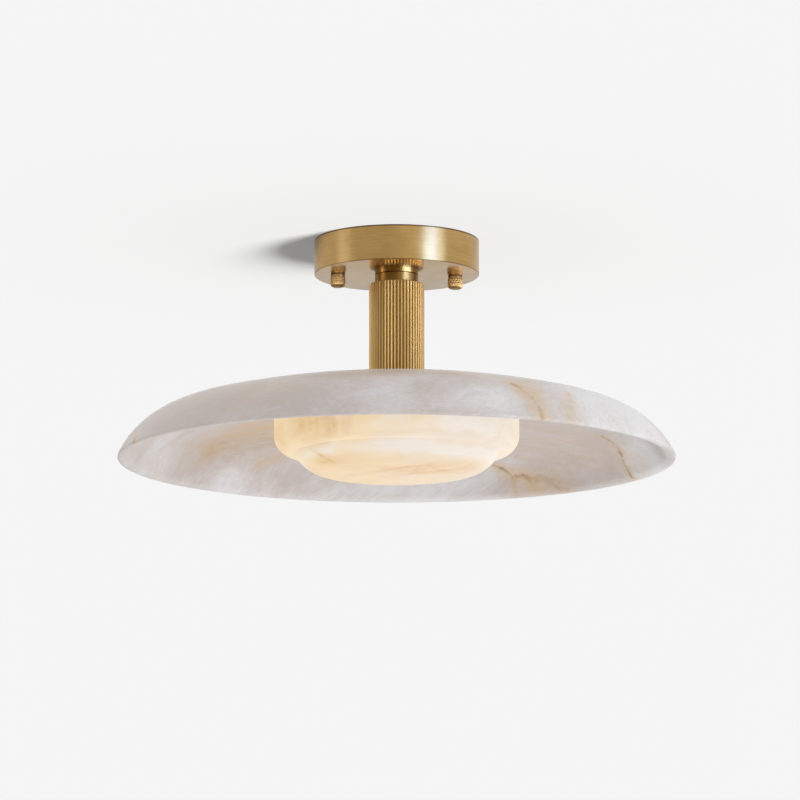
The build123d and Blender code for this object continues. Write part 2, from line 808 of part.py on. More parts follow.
with BuildPart() as terminal_block:
    with BuildSketch(level(canopy_floor)):
        with Locations((terminal_offset, terminal_y)):
            Rectangle(terminal_length, terminal_depth)
    extrude(amount=terminal_height)
    with BuildSketch(terminal_face):
        with Locations(*[(x, 0) for x in way_places]):
            Circle(terminal_bore / 2)
    extrude(amount=terminal_depth, mode=Mode.SUBTRACT)
    with BuildSketch(level(terminal_top)):
        with Locations(*screw_places):
            Circle(screw_well_r)
    extrude(amount=mains_lead_z - terminal_top, mode=Mode.SUBTRACT)
    with BuildSketch(level(terminal_top)):
        with Locations(*groove_places):
            Rectangle(terminal_groove_width, terminal_depth)
    extrude(amount=-terminal_groove_depth, mode=Mode.SUBTRACT)
terminal_block.part.label = "terminal_block"
export_step(terminal_block.part, "parts/terminal_block.step")

with BuildPart() as terminal_screws:
    with BuildSketch(level(screw_bottom)):
        with Locations(*screw_places):
            Circle(terminal_screw_diameter / 2)
    extrude(amount=screw_top - screw_bottom)
terminal_screws.part.label = "terminal_screws"
export_step(terminal_screws.part, "parts/terminal_screws.step")

# Two short solid-core leads run from the terminal block into the driver
lead_start_y = terminal_near_y - terminal_depth / 2 - terminal_screw_diameter / 2
lead_length = driver_near_y + driver_socket_depth - lead_start_y
lead_plane = Plane(origin=(0, lead_start_y, mains_lead_z), x_dir=(-1, 0, 0), z_dir=(0, 1, 0))

with BuildPart() as neutral_lead:
    with BuildSketch(lead_plane):
        with Locations((-neutral_x, 0)):
            Circle(mains_lead_diameter / 2)
    extrude(amount=lead_length)
neutral_lead.part.label = "neutral_lead"
export_step(neutral_lead.part, "parts/neutral_lead.step")

with BuildPart() as live_lead:
    with BuildSketch(lead_plane):
        with Locations((-live_x, 0)):
            Circle(mains_lead_diameter / 2)
    extrude(amount=lead_length)
live_lead.part.label = "live_lead"
export_step(live_lead.part, "parts/live_lead.step")

# Round twin lead: out of the driver, over into the tube, down it and round into the board's connector
led_lead_r = led_lead_diameter / 2
lead_ridge = -bracket_thickness - led_lead_headroom - led_lead_r
lead_room = lead_ridge - (tube_top + bush_flange_thickness)
upper_bend = min(lead_room, led_lead_bend_share * driver_y)
lower_bend = led_lead_bend_share * connector_reach
lead_dip = tube_bottom - bush_flange_thickness - led_lead_straight - lower_bend

with BuildPart() as led_lead:
    with BuildLine() as lead_route:
        FilletPolyline(
            (connector_reach, 0, connector_bottom),
            (connector_reach, 0, lead_dip),
            (0, 0, lead_dip),
            (0, 0, lead_ridge),
            (0, driver_y, lead_ridge),
            (0, driver_y, driver_case_top),
            radius=[lower_bend, lower_bend, upper_bend, upper_bend],
        )
    with BuildSketch(Plane(origin=lead_route.line @ 0, z_dir=lead_route.line % 0)):
        Circle(led_lead_r)
    sweep()
led_lead.part.label = "led_lead"
export_step(led_lead.part, "parts/led_lead.step")
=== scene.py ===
"""Looks of an alabaster ceiling lamp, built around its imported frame.

Metres, in the frame's own axes: the ceiling is the plane z = 0 and the lamp hangs below it on the Z axis.
"""

import json
import logging
import math
from collections.abc import Sequence
from dataclasses import dataclass, replace
from enum import Enum
from functools import reduce
from typing import Any

import bmesh
import bpy
from mathutils import Matrix, Vector


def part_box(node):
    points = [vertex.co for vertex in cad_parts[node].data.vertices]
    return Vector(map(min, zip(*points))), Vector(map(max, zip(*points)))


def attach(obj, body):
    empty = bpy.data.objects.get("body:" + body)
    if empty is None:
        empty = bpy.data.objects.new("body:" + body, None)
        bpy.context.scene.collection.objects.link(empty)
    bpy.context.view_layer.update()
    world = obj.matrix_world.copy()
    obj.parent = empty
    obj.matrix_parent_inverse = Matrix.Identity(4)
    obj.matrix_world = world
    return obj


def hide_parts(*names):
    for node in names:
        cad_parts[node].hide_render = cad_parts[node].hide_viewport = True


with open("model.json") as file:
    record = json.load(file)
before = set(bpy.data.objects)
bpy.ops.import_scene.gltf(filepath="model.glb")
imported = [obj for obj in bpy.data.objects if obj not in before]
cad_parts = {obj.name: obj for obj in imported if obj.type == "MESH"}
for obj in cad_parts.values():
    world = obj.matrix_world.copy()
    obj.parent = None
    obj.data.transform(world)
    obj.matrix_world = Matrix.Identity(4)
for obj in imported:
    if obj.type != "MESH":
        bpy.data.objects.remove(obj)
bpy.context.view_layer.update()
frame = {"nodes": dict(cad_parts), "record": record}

LOG = logging.getLogger("lamp")
TINY = 1e-7
CORE = 0.25  # the share of a stain's or stripe's reach that has its full strength

Point = tuple[float, float]
Range = tuple[float, float]
Place = tuple[float, float, float]
Colour = tuple[float, float, float, float]


class Body(Enum):
    """The bodies of the frame that pieces ride on."""

    FIXTURE = "fixture"
    LEFT_NUT = "left_nut"
    RIGHT_NUT = "right_nut"
    DIFFUSER = "diffuser"


def rgb(red: float, green: float, blue: float) -> Colour:
    """An opaque linear colour."""
    return (red, green, blue, 1.0)


class Term:
    """One output of a node tree; operators on it add Math nodes, so maths reads as an expression."""

    def __init__(self, graph: "Graph", socket: bpy.types.NodeSocket) -> None:
        """Keeps the tree and the socket."""
        self.graph = graph
        self.socket = socket

    def __add__(self, other: "Term | float") -> "Term":
        """This plus another."""
        return self.graph.math("ADD", self, other)

    def __sub__(self, other: "Term | float") -> "Term":
        """This less another."""
        return self.graph.math("SUBTRACT", self, other)

    def __rsub__(self, other: "Term | float") -> "Term":
        """Another less this."""
        return self.graph.math("SUBTRACT", other, self)

    def __mul__(self, other: "Term | float") -> "Term":
        """This times another."""
        return self.graph.math("MULTIPLY", self, other)

    def __truediv__(self, other: "Term | float") -> "Term":
        """This divided by another."""
        return self.graph.math("DIVIDE", self, other)

    def __rtruediv__(self, other: "Term | float") -> "Term":
        """Another divided by this."""
        return self.graph.math("DIVIDE", other, self)

    def __gt__(self, other: "Term | float") -> "Term":
        """1 where this is larger, else 0."""
        return self.graph.math("GREATER_THAN", self, other)

    def __abs__(self) -> "Term":
        """This without its sign."""
        return self.graph.math("ABSOLUTE", self)

    __radd__ = __add__
    __rmul__ = __mul__

    def at_most(self, other: "Term | float") -> "Term":
        """The smaller of two values."""
        return self.graph.math("MINIMUM", self, other)

    def at_least(self, other: "Term | float") -> "Term":
        """The larger of two values."""
        return self.graph.math("MAXIMUM", self, other)

    def clamped(self) -> "Term":
        """This, held between 0 and 1."""
        return self.at_least(0.0).at_most(1.0)

    def swing(self, reach: float) -> "Term":
        """This noise about its middle, times a reach."""
        return (self - 0.5) * reach

    def floor(self) -> "Term":
        """The whole number below."""
        return self.graph.math("FLOOR", self)

    def sine(self) -> "Term":
        """The sine of an angle in radians."""
        return self.graph.math("SINE", self)

    def cosine(self) -> "Term":
        """The cosine of an angle in radians."""
        return self.graph.math("COSINE", self)


class Graph:
    """A node tree that is filled from code."""

    def __init__(self, tree: bpy.types.NodeTree) -> None:
        """Empties the tree."""
        self.tree = tree
        tree.nodes.clear()

    def node(
        self,
        kind: str,
        settings: dict[str, Any] | None = None,
        sockets: dict[str | int, Any] | None = None,
        output: int | str = 0,
    ) -> Term | None:
        """Adds a node.

        Args:
            kind: The node's type.
            settings: Its own properties; they are set first.
            sockets: Values or links for its inputs, by name or number.
            output: The output to hand back.

        Returns:
            That output, or nothing for a node without outputs.
        """
        made = self.tree.nodes.new(kind)
        for name, value in (settings or {}).items():
            setattr(made, name, value)
        for key, value in (sockets or {}).items():
            if isinstance(value, Term):
                self.tree.links.new(value.socket, made.inputs[key])
            else:
                made.inputs[key].default_value = value
        return Term(self, made.outputs[output]) if len(made.outputs) else None

    def math(self, operation: str, *values: Term | float) -> Term:
        """A Math node on one or two values."""
        return self.node("ShaderNodeMath", {"operation": operation}, dict(enumerate(values)))

    def vector(self, operation: str, *values: Any, output: int = 0) -> Term:
        """A Vector Math node on one or two vectors."""
        return self.node("ShaderNodeVectorMath", {"operation": operation}, dict(enumerate(values)), output)

    def scaled(self, vector: Any, factor: Term | float) -> Term:
        """A vector times a number."""
        return self.node("ShaderNodeVectorMath", {"operation": "SCALE"}, {0: vector, "Scale": factor})

    def part(self, vector: Term, axis: str) -> Term:
        """One component of a vector."""
        return self.node("ShaderNodeSeparateXYZ", None, {0: vector}, axis)

    def packed(self, x: Term | float, y: Term | float, z: Term | float) -> Term:
        """A vector from its three components."""
        return self.node("ShaderNodeCombineXYZ", None, {0: x, 1: y, 2: z})

    def step(self, value: Term, low: float, high: float) -> Term:
        """A smooth step between two values.

        Args:
            value: The value that is stepped.
            low: Where the step is 0.
            high: Where the step is 1, above or below the other.

        Returns:
            The step.
        """
        rising = low < high
        sockets = {
            "Value": value,
            "From Min": min(low, high),
            "From Max": max(low, high),
            "To Min": 0.0 if rising else 1.0,
            "To Max": 1.0 if rising else 0.0,
        }
        return self.node("ShaderNodeMapRange", {"interpolation_type": "SMOOTHSTEP"}, sockets)


@dataclass(frozen=True)
class Noise:
    """Soft noise: its largest grain's size along each axis, that grain's turn in degrees, its detail."""

    size: Place
    turn: Place = (0.0, 0.0, 0.0)
    detail: float = 3.0
    rough: float = 0.55


def even(size: float, detail: float = 3.0, rough: float = 0.55) -> Noise:
    """Noise that is the same along all axes."""
    return Noise((size, size, size), detail=detail, rough=rough)


@dataclass(frozen=True)
class Stripe:
    """A thin level line of another tone: its height, half its width, and its strength."""

    height: float
    width: float
    strength: float

    def raised(self, height: float) -> "Stripe":
        """The same stripe, higher by that much."""
        return replace(self, height=self.height + height)


class Surface(Graph):
    """A material's node tree."""

    def __init__(self, name: str) -> None:
        """Makes the material.

        Args:
            name: The material's name.
        """
        self.material = bpy.data.materials.new(name)
        self.material.use_nodes = True
        super().__init__(self.material.node_tree)

    def place(self) -> Term:
        """Object coordinates, which are the frame's own."""
        return self.node("ShaderNodeTexCoord", output="Object")

    def noise(self, vector: Term, noise: Noise, output: int = 0) -> Term:
        """A noise on some coordinates.

        Args:
            vector: The coordinates.
            noise: The noise's settings.
            output: 0 for one value, 1 for three values as a colour.

        Returns:
            That output.
        """
        turn = [math.radians(angle) for angle in noise.turn]
        sockets = {"Vector": vector, "Rotation": turn, "Scale": noise.size}
        grain = self.node("ShaderNodeMapping", {"vector_type": "TEXTURE"}, sockets)
        sockets = {"Vector": grain, "Scale": 1.0, "Detail": noise.detail, "Roughness": noise.rough}
        return self.node("ShaderNodeTexNoise", None, sockets, output)

    def mix(self, first: Any, second: Any, share: Term | float) -> Term:
        """A mix of two colours."""
        return self.node("ShaderNodeMix", {"data_type": "RGBA"}, {0: share, 6: first, 7: second}, 2)

    def bump(self, height: Term, strength: float, distance: float) -> Term:
        """A normal bent by a height."""
        sockets = {"Height": height, "Strength": strength, "Distance": distance}
        return self.node("ShaderNodeBump", None, sockets)

    def stripe(self, vector: Term, stripe: Stripe) -> Term:
        """A stripe's strength, fading to 0 beside it."""
        away = abs(self.part(vector, "Z") - stripe.height)
        return self.step(away, stripe.width, stripe.width * CORE) * stripe.strength

    def finish(self, sockets: dict[str, Any]) -> bpy.types.Material:
        """Ends the tree in a principled shader.

        Args:
            sockets: Values or links for the shader's inputs.

        Returns:
            The finished material.
        """
        shader = self.node("ShaderNodeBsdfPrincipled", None, sockets)
        self.node("ShaderNodeOutputMaterial", None, {"Surface": shader})
        return self.material


@dataclass(frozen=True)
class Vein:
    """A mineral vein: a line in plan that runs through the stone from top to bottom, or a line in space."""

    line: tuple[Point, ...] | tuple[Place, ...]
    width: float
    halo: float
    strength: float


@dataclass(frozen=True)
class Stain:
    """A soft patch in the stone, as an ellipsoid."""

    centre: Place
    reach: Place
    strength: float


@dataclass(frozen=True)
class Tint:
    """A colour that stains the stone in places, carried by its streaks, its wisps or neither."""

    colour: Colour
    stains: tuple[Stain, ...]
    streaks: float = 0.0
    wisps: float = 0.0
    plain: float = 0.0
    share: float = 1.0
    limit: float = 1.0


class Stone(Surface):
    """Turned alabaster: clouds, fibres, stains and veins that run through the solid, and a honed surface."""

    refraction = 1.52
    honing = even(0.0016, rough=0.6)
    honing_strength = 0.05
    honing_depth = 0.0004

    def __init__(self, name: str, bends: Noise, wander: float) -> None:
        """Bends the coordinates a little, so that nothing in the stone is straight.

        Args:
            name: The material's name.
            bends: The noise that bends them.
            wander: How far it moves a point at most, each way.
        """
        super().__init__(name)
        self.origin = self.place()
        self.bent = self.shaken(bends, wander)

    def shaken(self, bends: Noise, wander: float) -> Term:
        """Object coordinates, moved by a noise by as much as that each way."""
        moves = self.vector("SUBTRACT", self.noise(self.origin, bends, output=1), (0.5, 0.5, 0.5))
        return self.vector("ADD", self.origin, self.scaled(moves, 2 * wander))

    def stain(self, stain: Stain) -> Term:
        """A stain's strength in its middle, fading to 0 at its edge."""
        spread = self.vector("DIVIDE", self.vector("SUBTRACT", self.bent, stain.centre), stain.reach)
        return self.step(self.vector("LENGTH", spread, output=1), 1.0, CORE) * stain.strength

    def strongest(self, stains: Sequence[Stain]) -> Term:
        """The strongest of several stains at each point."""
        return reduce(Term.at_least, [self.stain(stain) for stain in stains])

    def tinted(self, tint: Tint, streaks: Term, wisps: Term) -> Term:
        """How strongly a tint shows at each point, given the stone's streaks and wisps."""
        carried = streaks * tint.streaks + wisps * tint.wisps + tint.plain
        return (self.strongest(tint.stains) * carried * tint.share).at_most(tint.limit)

    def run_distance(self, vector: Term, start: Vector, end: Vector) -> Term:
        """How far each point lies from a straight run.

        Args:
            vector: The points.
            start: The run's first end.
            end: Its other end.

        Returns:
            The distance.
        """
        run = end - start
        away = self.vector("SUBTRACT", vector, tuple(start))
        share = self.vector("DOT_PRODUCT", away, tuple(run / run.length_squared), output=1).clamped()
        gap = self.vector("SUBTRACT", away, self.scaled(tuple(run), share))
        return self.vector("LENGTH", gap, output=1)

    def vein_distance(self, vector: Term, vein: Vein) -> Term:
        """How far each point lies from a vein's line."""
        corners = [Vector(corner).to_3d() for corner in vein.line]
        return reduce(Term.at_most, [self.run_distance(vector, *ends) for ends in zip(corners, corners[1:])])

    def finish(self, sockets: dict[str, Any]) -> bpy.types.Material:
        """Ends the tree in a honed surface with these inputs."""
        normal = self.bump(self.noise(self.origin, self.honing), self.honing_strength, self.honing_depth)
        return super().finish({"IOR": self.refraction, "Normal": normal, **sockets})


@dataclass(frozen=True)
class ShadeStone:
    """The shade's honed alabaster, with its stains and veins where the photograph shows them."""

    name: str = "alabaster_shade"
    body: Colour = rgb(0.62, 0.55, 0.52)
    pale: Colour = rgb(0.80, 0.79, 0.80)
    beige: Colour = rgb(0.62, 0.48, 0.37)
    amber: Colour = rgb(0.70, 0.51, 0.315)
    brown: Colour = rgb(0.40, 0.24, 0.13)

    bends: Noise = even(0.05)
    wander: float = 0.010
    cloud: Noise = even(0.07, 4.0)
    cloud_edges: Range = (0.36, 0.64)
    cloud_share: float = 0.35
    wisp: Noise = Noise((0.045, 0.022, 0.012), (10.0, -15.0, -35.0), 4.0)
    wisp_share: float = 1.05
    fibre: Noise = Noise((0.04, 0.004, 0.0025), (12.0, -20.0, -50.0), 4.0, 0.6)
    fibre_share: float = 1.15
    streak: Noise = Noise((0.06, 0.009, 0.0035), (0.0, 4.0, -8.0), 5.0, 0.62)
    streak_edges: Range = (0.38, 0.62)

    pale_share: float = 0.65
    pale_stains: tuple[Stain, ...] = (
        Stain((0.04, -0.19, -0.146), (0.05, 0.03, 0.022), 0.8),
        Stain((-0.02, -0.195, -0.150), (0.04, 0.03, 0.02), 0.6),
        Stain((0.15, -0.13, -0.142), (0.085, 0.10, 0.06), 1.2),
        Stain((-0.17, 0.075, -0.15), (0.03, 0.05, 0.03), 0.8),
        Stain((-0.112, 0.153, -0.154), (0.025, 0.02, 0.02), 0.9),
        # Painted light: brightens the far inside below the diffuser, where its shadow falls.
        Stain((0.03, 0.19, -0.155), (0.13, 0.04, 0.025), 1.0),
        # Painted light: brightens the far right inside, where it lies in shade.
        Stain((0.185, 0.04, -0.152), (0.035, 0.06, 0.03), 1.5),
    )
    # Where the whites are held down. The first stain darkens the outer left, the side away from the light:
    # painted shade there.
    quiet_share: float = 0.6
    quiet_stains: tuple[Stain, ...] = (
        Stain((-0.15, -0.10, -0.140), (0.12, 0.12, 0.06), 1.0),
        Stain((0.13, 0.09, -0.140), (0.08, 0.07, 0.05), 0.5),
        Stain((-0.090, 0.100, -0.130), (0.065, 0.050, 0.04), 1.0),
    )
    beige_stains: tuple[Stain, ...] = (
        Stain((-0.10, -0.150, -0.136), (0.08, 0.045, 0.03), 0.8),
        Stain((-0.04, -0.150, -0.124), (0.08, 0.04, 0.02), 0.9),
        Stain((0.04, -0.150, -0.122), (0.07, 0.04, 0.02), 0.9),
        Stain((0.12, 0.09, -0.14), (0.08, 0.08, 0.05), 1.0),
        Stain((-0.15, -0.09, -0.14), (0.11, 0.12, 0.05), 0.5),
        Stain((-0.100, 0.095, -0.13), (0.080, 0.055, 0.04), 1.3),
        Stain((-0.085, 0.115, -0.13), (0.050, 0.045, 0.04), 1.2),
    )
    amber_stains: tuple[Stain, ...] = (
        Stain((-0.092, 0.088, -0.125), (0.060, 0.040, 0.03), 1.0),
        Stain((-0.124, 0.110, -0.134), (0.021, 0.018, 0.03), 0.8),
        Stain((-0.086, 0.086, -0.122), (0.034, 0.022, 0.03), 1.3),
        Stain((-0.083, 0.149, -0.137), (0.018, 0.014, 0.03), 0.8),
        Stain((0.076, -0.167, -0.140), (0.020, 0.03, 0.03), 0.7),
        Stain((0.108, 0.158, -0.150), (0.024, 0.018, 0.03), 0.6),
        Stain((0.178, 0.055, -0.148), (0.030, 0.050, 0.03), 0.35),
    )
    brown_stains: tuple[Stain, ...] = (
        Stain((-0.105, 0.116, -0.131), (0.060, 0.050, 0.04), 1.0),
        Stain((-0.124, 0.112, -0.135), (0.022, 0.016, 0.03), 1.5),
    )
    tints: tuple[Tint, ...] = (
        Tint(beige, beige_stains, streaks=0.5, wisps=0.7, share=0.8, limit=0.8),
        Tint(amber, amber_stains, streaks=0.6, plain=0.4, share=0.9),
        Tint(brown, brown_stains, streaks=0.4, wisps=0.8, share=0.3),
    )

    jag: Noise = even(0.012, 5.0, 0.7)
    jag_reach: float = 0.004
    swell: Noise = even(0.009, rough=0.6)
    swell_edges: Range = (0.36, 0.62)
    core_edges: Range = (1.5, 0.1)
    core_least: float = 0.35
    core_patchy: float = 0.6
    halo_streaks: float = 0.4
    halo_wisps: float = 0.9
    halo_gain: float = 0.5
    halo_least: float = 0.6
    veins: tuple[Vein, ...] = (
        Vein(((0.066, -0.165), (0.079, -0.173), (0.0863, -0.1815)), 0.0017, 0.012, 0.6),
        Vein(((0.1073, -0.1484), (0.1065, -0.1587), (0.1050, -0.171)), 0.0026, 0.009, 0.1),
        Vein(((0.1543, 0.0478), (0.1668, 0.0541), (0.1734, 0.0669), (0.1798, 0.0702)), 0.0010, 0.007, 0.85),
        Vein(((0.0861, 0.1507), (0.0995, 0.1518), (0.1143, 0.1465)), 0.0013, 0.009, 0.8),
        Vein(((0.1143, 0.1465), (0.1250, 0.1400), (0.1395, 0.1337)), 0.0028, 0.012, 0.4),
        Vein(((0.1007, 0.1534), (0.1031, 0.1604)), 0.0022, 0.007, 0.2),
        Vein(((-0.1905, -0.060), (-0.1885, -0.066)), 0.0012, 0.004, 0.6),
    )

    rough: float = 0.36
    rough_swing: float = 0.2
    depth_weight: float = 0.12
    depth_radius: Place = (1.0, 0.8, 0.62)
    depth_scale: float = 0.008

    def veined(self, stone: Stone, colour: Term, haze: Term) -> Term:
        """Draws the veins, each with an amber halo and a brown core that swells and thins.

        Args:
            stone: The material's tree.
            colour: The stone's colour without them.
            haze: How far the halos show at each point.

        Returns:
            The colour with the veins.
        """
        plan = stone.vector("MULTIPLY", stone.shaken(self.jag, self.jag_reach), (1.0, 1.0, 0.0))
        swell = stone.step(stone.noise(stone.origin, self.swell), *self.swell_edges)
        patchy = swell * self.core_patchy + (1 - self.core_patchy)
        for vein in self.veins:
            distance = stone.vein_distance(plan, vein)
            halo = stone.step(distance, vein.halo, 0.0) * haze
            halo = halo * (vein.strength * self.halo_gain + self.halo_least)
            colour = stone.mix(colour, self.amber, halo)
            edges = [vein.width * share for share in self.core_edges]
            core = stone.step(distance / (swell + self.core_least), *edges)
            colour = stone.mix(colour, self.brown, core * patchy * vein.strength)
        return colour

    def material(self) -> bpy.types.Material:
        """Builds the material.

        Returns:
            The material.
        """
        stone = Stone(self.name, self.bends, self.wander)
        cloud = stone.step(stone.noise(stone.bent, self.cloud), *self.cloud_edges)
        wisps = stone.noise(stone.bent, self.wisp)
        fibres = stone.noise(stone.bent, self.fibre)
        streaks = stone.step(stone.noise(stone.origin, self.streak), *self.streak_edges)

        whites = cloud * self.cloud_share + stone.strongest(self.pale_stains) * self.pale_share
        whites = whites + wisps.swing(self.wisp_share) + fibres.swing(self.fibre_share)
        whites = whites * (1 - stone.strongest(self.quiet_stains) * self.quiet_share)
        colour = stone.mix(self.body, self.pale, whites.clamped())
        for tint in self.tints:
            colour = stone.mix(colour, tint.colour, stone.tinted(tint, streaks, wisps))
        haze = (streaks * self.halo_streaks + wisps * self.halo_wisps).at_most(1.0)
        return stone.finish(
            {
                "Base Color": self.veined(stone, colour, haze),
                "Roughness": self.rough + fibres.swing(self.rough_swing),
                "Subsurface Weight": self.depth_weight,
                "Subsurface Radius": self.depth_radius,
                "Subsurface Scale": self.depth_scale,
            }
        )


@dataclass(frozen=True)
class DiffuserStone:
    """The diffuser's alabaster, lit from inside: the light itself carries the clouds, stains and streaks."""

    name: str = "alabaster_diffuser"
    cream: Colour = rgb(0.68, 0.53, 0.31)
    white: Colour = rgb(0.665, 0.62, 0.57)
    amber: Colour = rgb(0.49, 0.29, 0.10)
    # Used both for the smoke stains and for painted shade along the crease.
    smoke_and_shade: Colour = rgb(0.45, 0.25, 0.115)
    body: Colour = rgb(0.25, 0.215, 0.175)
    body_amber: float = 0.4

    bends: Noise = even(0.03)
    wander: float = 0.005
    cloud: Noise = even(0.03, 5.0, 0.62)
    cloud_edges: Range = (0.38, 0.64)
    cloud_share: float = 0.4
    streak: Noise = Noise((0.05, 0.012, 0.0035), (4.0, -7.0, -20.0), 5.0, 0.62)
    streak_edges: Range = (0.42, 0.66)
    streak_share: float = 0.08
    column: Noise = Noise((0.006, 0.012, 0.04), detail=5.0, rough=0.62)
    column_edges: Range = (0.36, 0.62)

    side_edges: Range = (-0.08, 0.05)
    side_share: float = 0.75
    white_share: float = 0.35
    white_stains: tuple[Stain, ...] = (
        Stain((0.000, -0.070, -0.160), (0.055, 0.035, 0.010), 1.0),
        Stain((0.050, -0.068, -0.147), (0.042, 0.035, 0.016), 1.0),
        Stain((0.064, -0.036, -0.157), (0.020, 0.020, 0.008), 1.0),
        Stain((-0.053, -0.050, -0.159), (0.016, 0.018, 0.005), 0.5),
    )
    amber_limit: float = 0.95
    amber_stains: tuple[Stain, ...] = (
        Stain((-0.066, -0.056, -0.144), (0.030, 0.035, 0.016), 0.8),
        Stain((-0.086, -0.005, -0.145), (0.012, 0.04, 0.02), 0.5),
        Stain((-0.050, -0.036, -0.166), (0.022, 0.02, 0.006), 0.6),
        Stain((0.010, -0.026, -0.172), (0.070, 0.034, 0.008), 0.5),
        Stain((0.050, 0.070, -0.140), (0.050, 0.050, 0.020), 0.7),
    )
    smoke_stains: tuple[Stain, ...] = (
        Stain((-0.053, -0.068, -0.145), (0.008, 0.025, 0.014), 0.9),
        Stain((-0.042, -0.076, -0.145), (0.006, 0.025, 0.012), 0.6),
        Stain((0.070, 0.060, -0.150), (0.012, 0.050, 0.020), 0.5),
    )
    amber_tint: Tint = Tint(amber, amber_stains, streaks=0.25, wisps=0.35, plain=0.3)
    smoke_tint: Tint = Tint(smoke_and_shade, smoke_stains, wisps=0.6, plain=0.4, share=0.7)

    step_height: float = 0.0145
    # Round the crease: lip is painted light on the lower bowl just under it, fold is painted shade under the
    # upper band, ledge is painted shade along the crease itself.
    lip: Stripe = Stripe(-0.004, 0.006, 0.35)
    fold: Stripe = Stripe(0.0015, 0.005, 0.24)
    fold_patchy: float = 0.6
    ledge: Stripe = Stripe(0.0, 0.0007, 0.10)
    base_height: float = 0.009
    base_share: float = 0.36

    vein_bend: float = 0.9
    vein_core: float = 0.5
    vein_streaks: float = 0.5
    vein_least: float = 0.6
    veins: tuple[Vein, ...] = (
        Vein(
            ((-0.0687, -0.0346, -0.1558), (-0.0588, -0.0361, -0.1616), (-0.0481, -0.036, -0.168)),
            0.0012, 0.004, 0.8,
        ),
        Vein(
            ((-0.0833, -0.0283, -0.137), (-0.0831, -0.0248, -0.1486), (-0.0733, -0.028, -0.1555)),
            0.0007, 0.002, 0.5,
        ),
        Vein(
            ((0.0682, -0.0556, -0.1395), (0.0677, -0.0523, -0.1504), (0.0635, -0.0516, -0.1539)),
            0.0007, 0.002, 0.5,
        ),
        Vein(
            ((-0.0162, -0.009, -0.1704), (0.0001, -0.0284, -0.1704), (0.0202, -0.0436, -0.1704)),
            0.002, 0.010, 0.44,
        ),
        Vein(
            ((0.0027, 0.0033, -0.1704), (0.0293, -0.0218, -0.1704), (0.0497, -0.0326, -0.1683)),
            0.003, 0.008, 0.44,
        ),
        Vein(
            ((-0.0162, -0.009, -0.1704), (-0.030, 0.002, -0.1704), (-0.038, 0.020, -0.1704)),
            0.003, 0.012, 0.20,
        ),
        Vein(
            ((0.0027, 0.0033, -0.1704), (-0.012, 0.024, -0.1704), (-0.016, 0.040, -0.1704)),
            0.003, 0.012, 0.20,
        ),
        Vein(
            ((0.0150, -0.008, -0.1704), (0.0190, -0.026, -0.1704), (0.034, -0.040, -0.1704)),
            0.002, 0.008, 0.16,
        ),
    )

    rough: float = 0.40
    rough_swing: float = 0.12
    gloss: float = 0.25
    glow: float = 1.0

    def lines(self, stone: Stone, streaks: Term, fold: Term) -> Term:
        """Draws the veins beside the shade of the fold.

        Args:
            stone: The material's tree.
            streaks: The stone's streaks, which thin the veins.
            fold: How dark the fold under the upper band is.

        Returns:
            How dark each point is.
        """
        bend = stone.scaled(stone.vector("SUBTRACT", stone.bent, stone.origin), self.vein_bend)
        near = stone.vector("ADD", stone.origin, bend)
        patchy = streaks * self.vein_streaks + self.vein_least
        darkest = fold
        for vein in self.veins:
            distance = stone.vein_distance(near, vein)
            core = stone.step(distance, vein.width, 0.0) * self.vein_core
            soft = stone.step(distance, vein.halo, 0.0) * (1 - self.vein_core) + core
            darkest = darkest.at_least(soft * patchy * vein.strength)
        return darkest

    def material(self) -> bpy.types.Material:
        """Builds the material.

        Returns:
            The material.
        """
        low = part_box("diffuser")[0].z
        crease = low + self.step_height
        stone = Stone(self.name, self.bends, self.wander)
        cloud = stone.step(stone.noise(stone.bent, self.cloud), *self.cloud_edges)
        streaks = stone.step(stone.noise(stone.bent, self.streak), *self.streak_edges)
        columns = stone.step(stone.noise(stone.bent, self.column), *self.column_edges)

        side = stone.step(stone.part(stone.bent, "X"), *self.side_edges)
        white = side * self.side_share + stone.strongest(self.white_stains) * self.white_share
        # The lip stripe adds painted light just under the crease.
        white = white + cloud.swing(self.cloud_share) + stone.stripe(stone.bent, self.lip.raised(crease))
        light = stone.mix(self.cream, self.white, white.clamped())

        amber = stone.tinted(self.amber_tint, streaks, columns)
        # Painted shade in the fold under the upper band.
        fold = stone.stripe(stone.bent, self.fold.raised(crease))
        fold = fold * (cloud * self.fold_patchy + (1 - self.fold_patchy))
        base = stone.step(stone.part(stone.bent, "Z"), low + self.base_height, low) * self.base_share
        stained = amber + self.lines(stone, streaks, fold) + streaks * self.streak_share + base
        light = stone.mix(light, self.amber, stained.at_most(self.amber_limit))
        # Painted shade along the crease, mixed in with the smoke stains.
        ledge = stone.stripe(stone.origin, self.ledge.raised(crease))
        light = stone.mix(light, self.smoke_and_shade, stone.tinted(self.smoke_tint, streaks, columns).at_least(ledge))
        return stone.finish(
            {
                "Base Color": stone.mix(self.body, self.amber, amber * self.body_amber),
                "Roughness": self.rough + cloud.swing(self.rough_swing),
                "Emission Color": light,
                "Emission Strength": self.glow,
                "Specular IOR Level": self.gloss,
            }
        )


class Grain(Enum):
    """The way the tool marks run on a brass piece; for rings, X is the distance from the axis."""

    ROUND = Noise((0.03, 0.03, 0.00035), rough=0.65)
    ALONG = Noise((0.0015, 0.0015, 0.05), rough=0.65)
    RINGS = Noise((0.0007, 1.0, 1.0), rough=0.65)


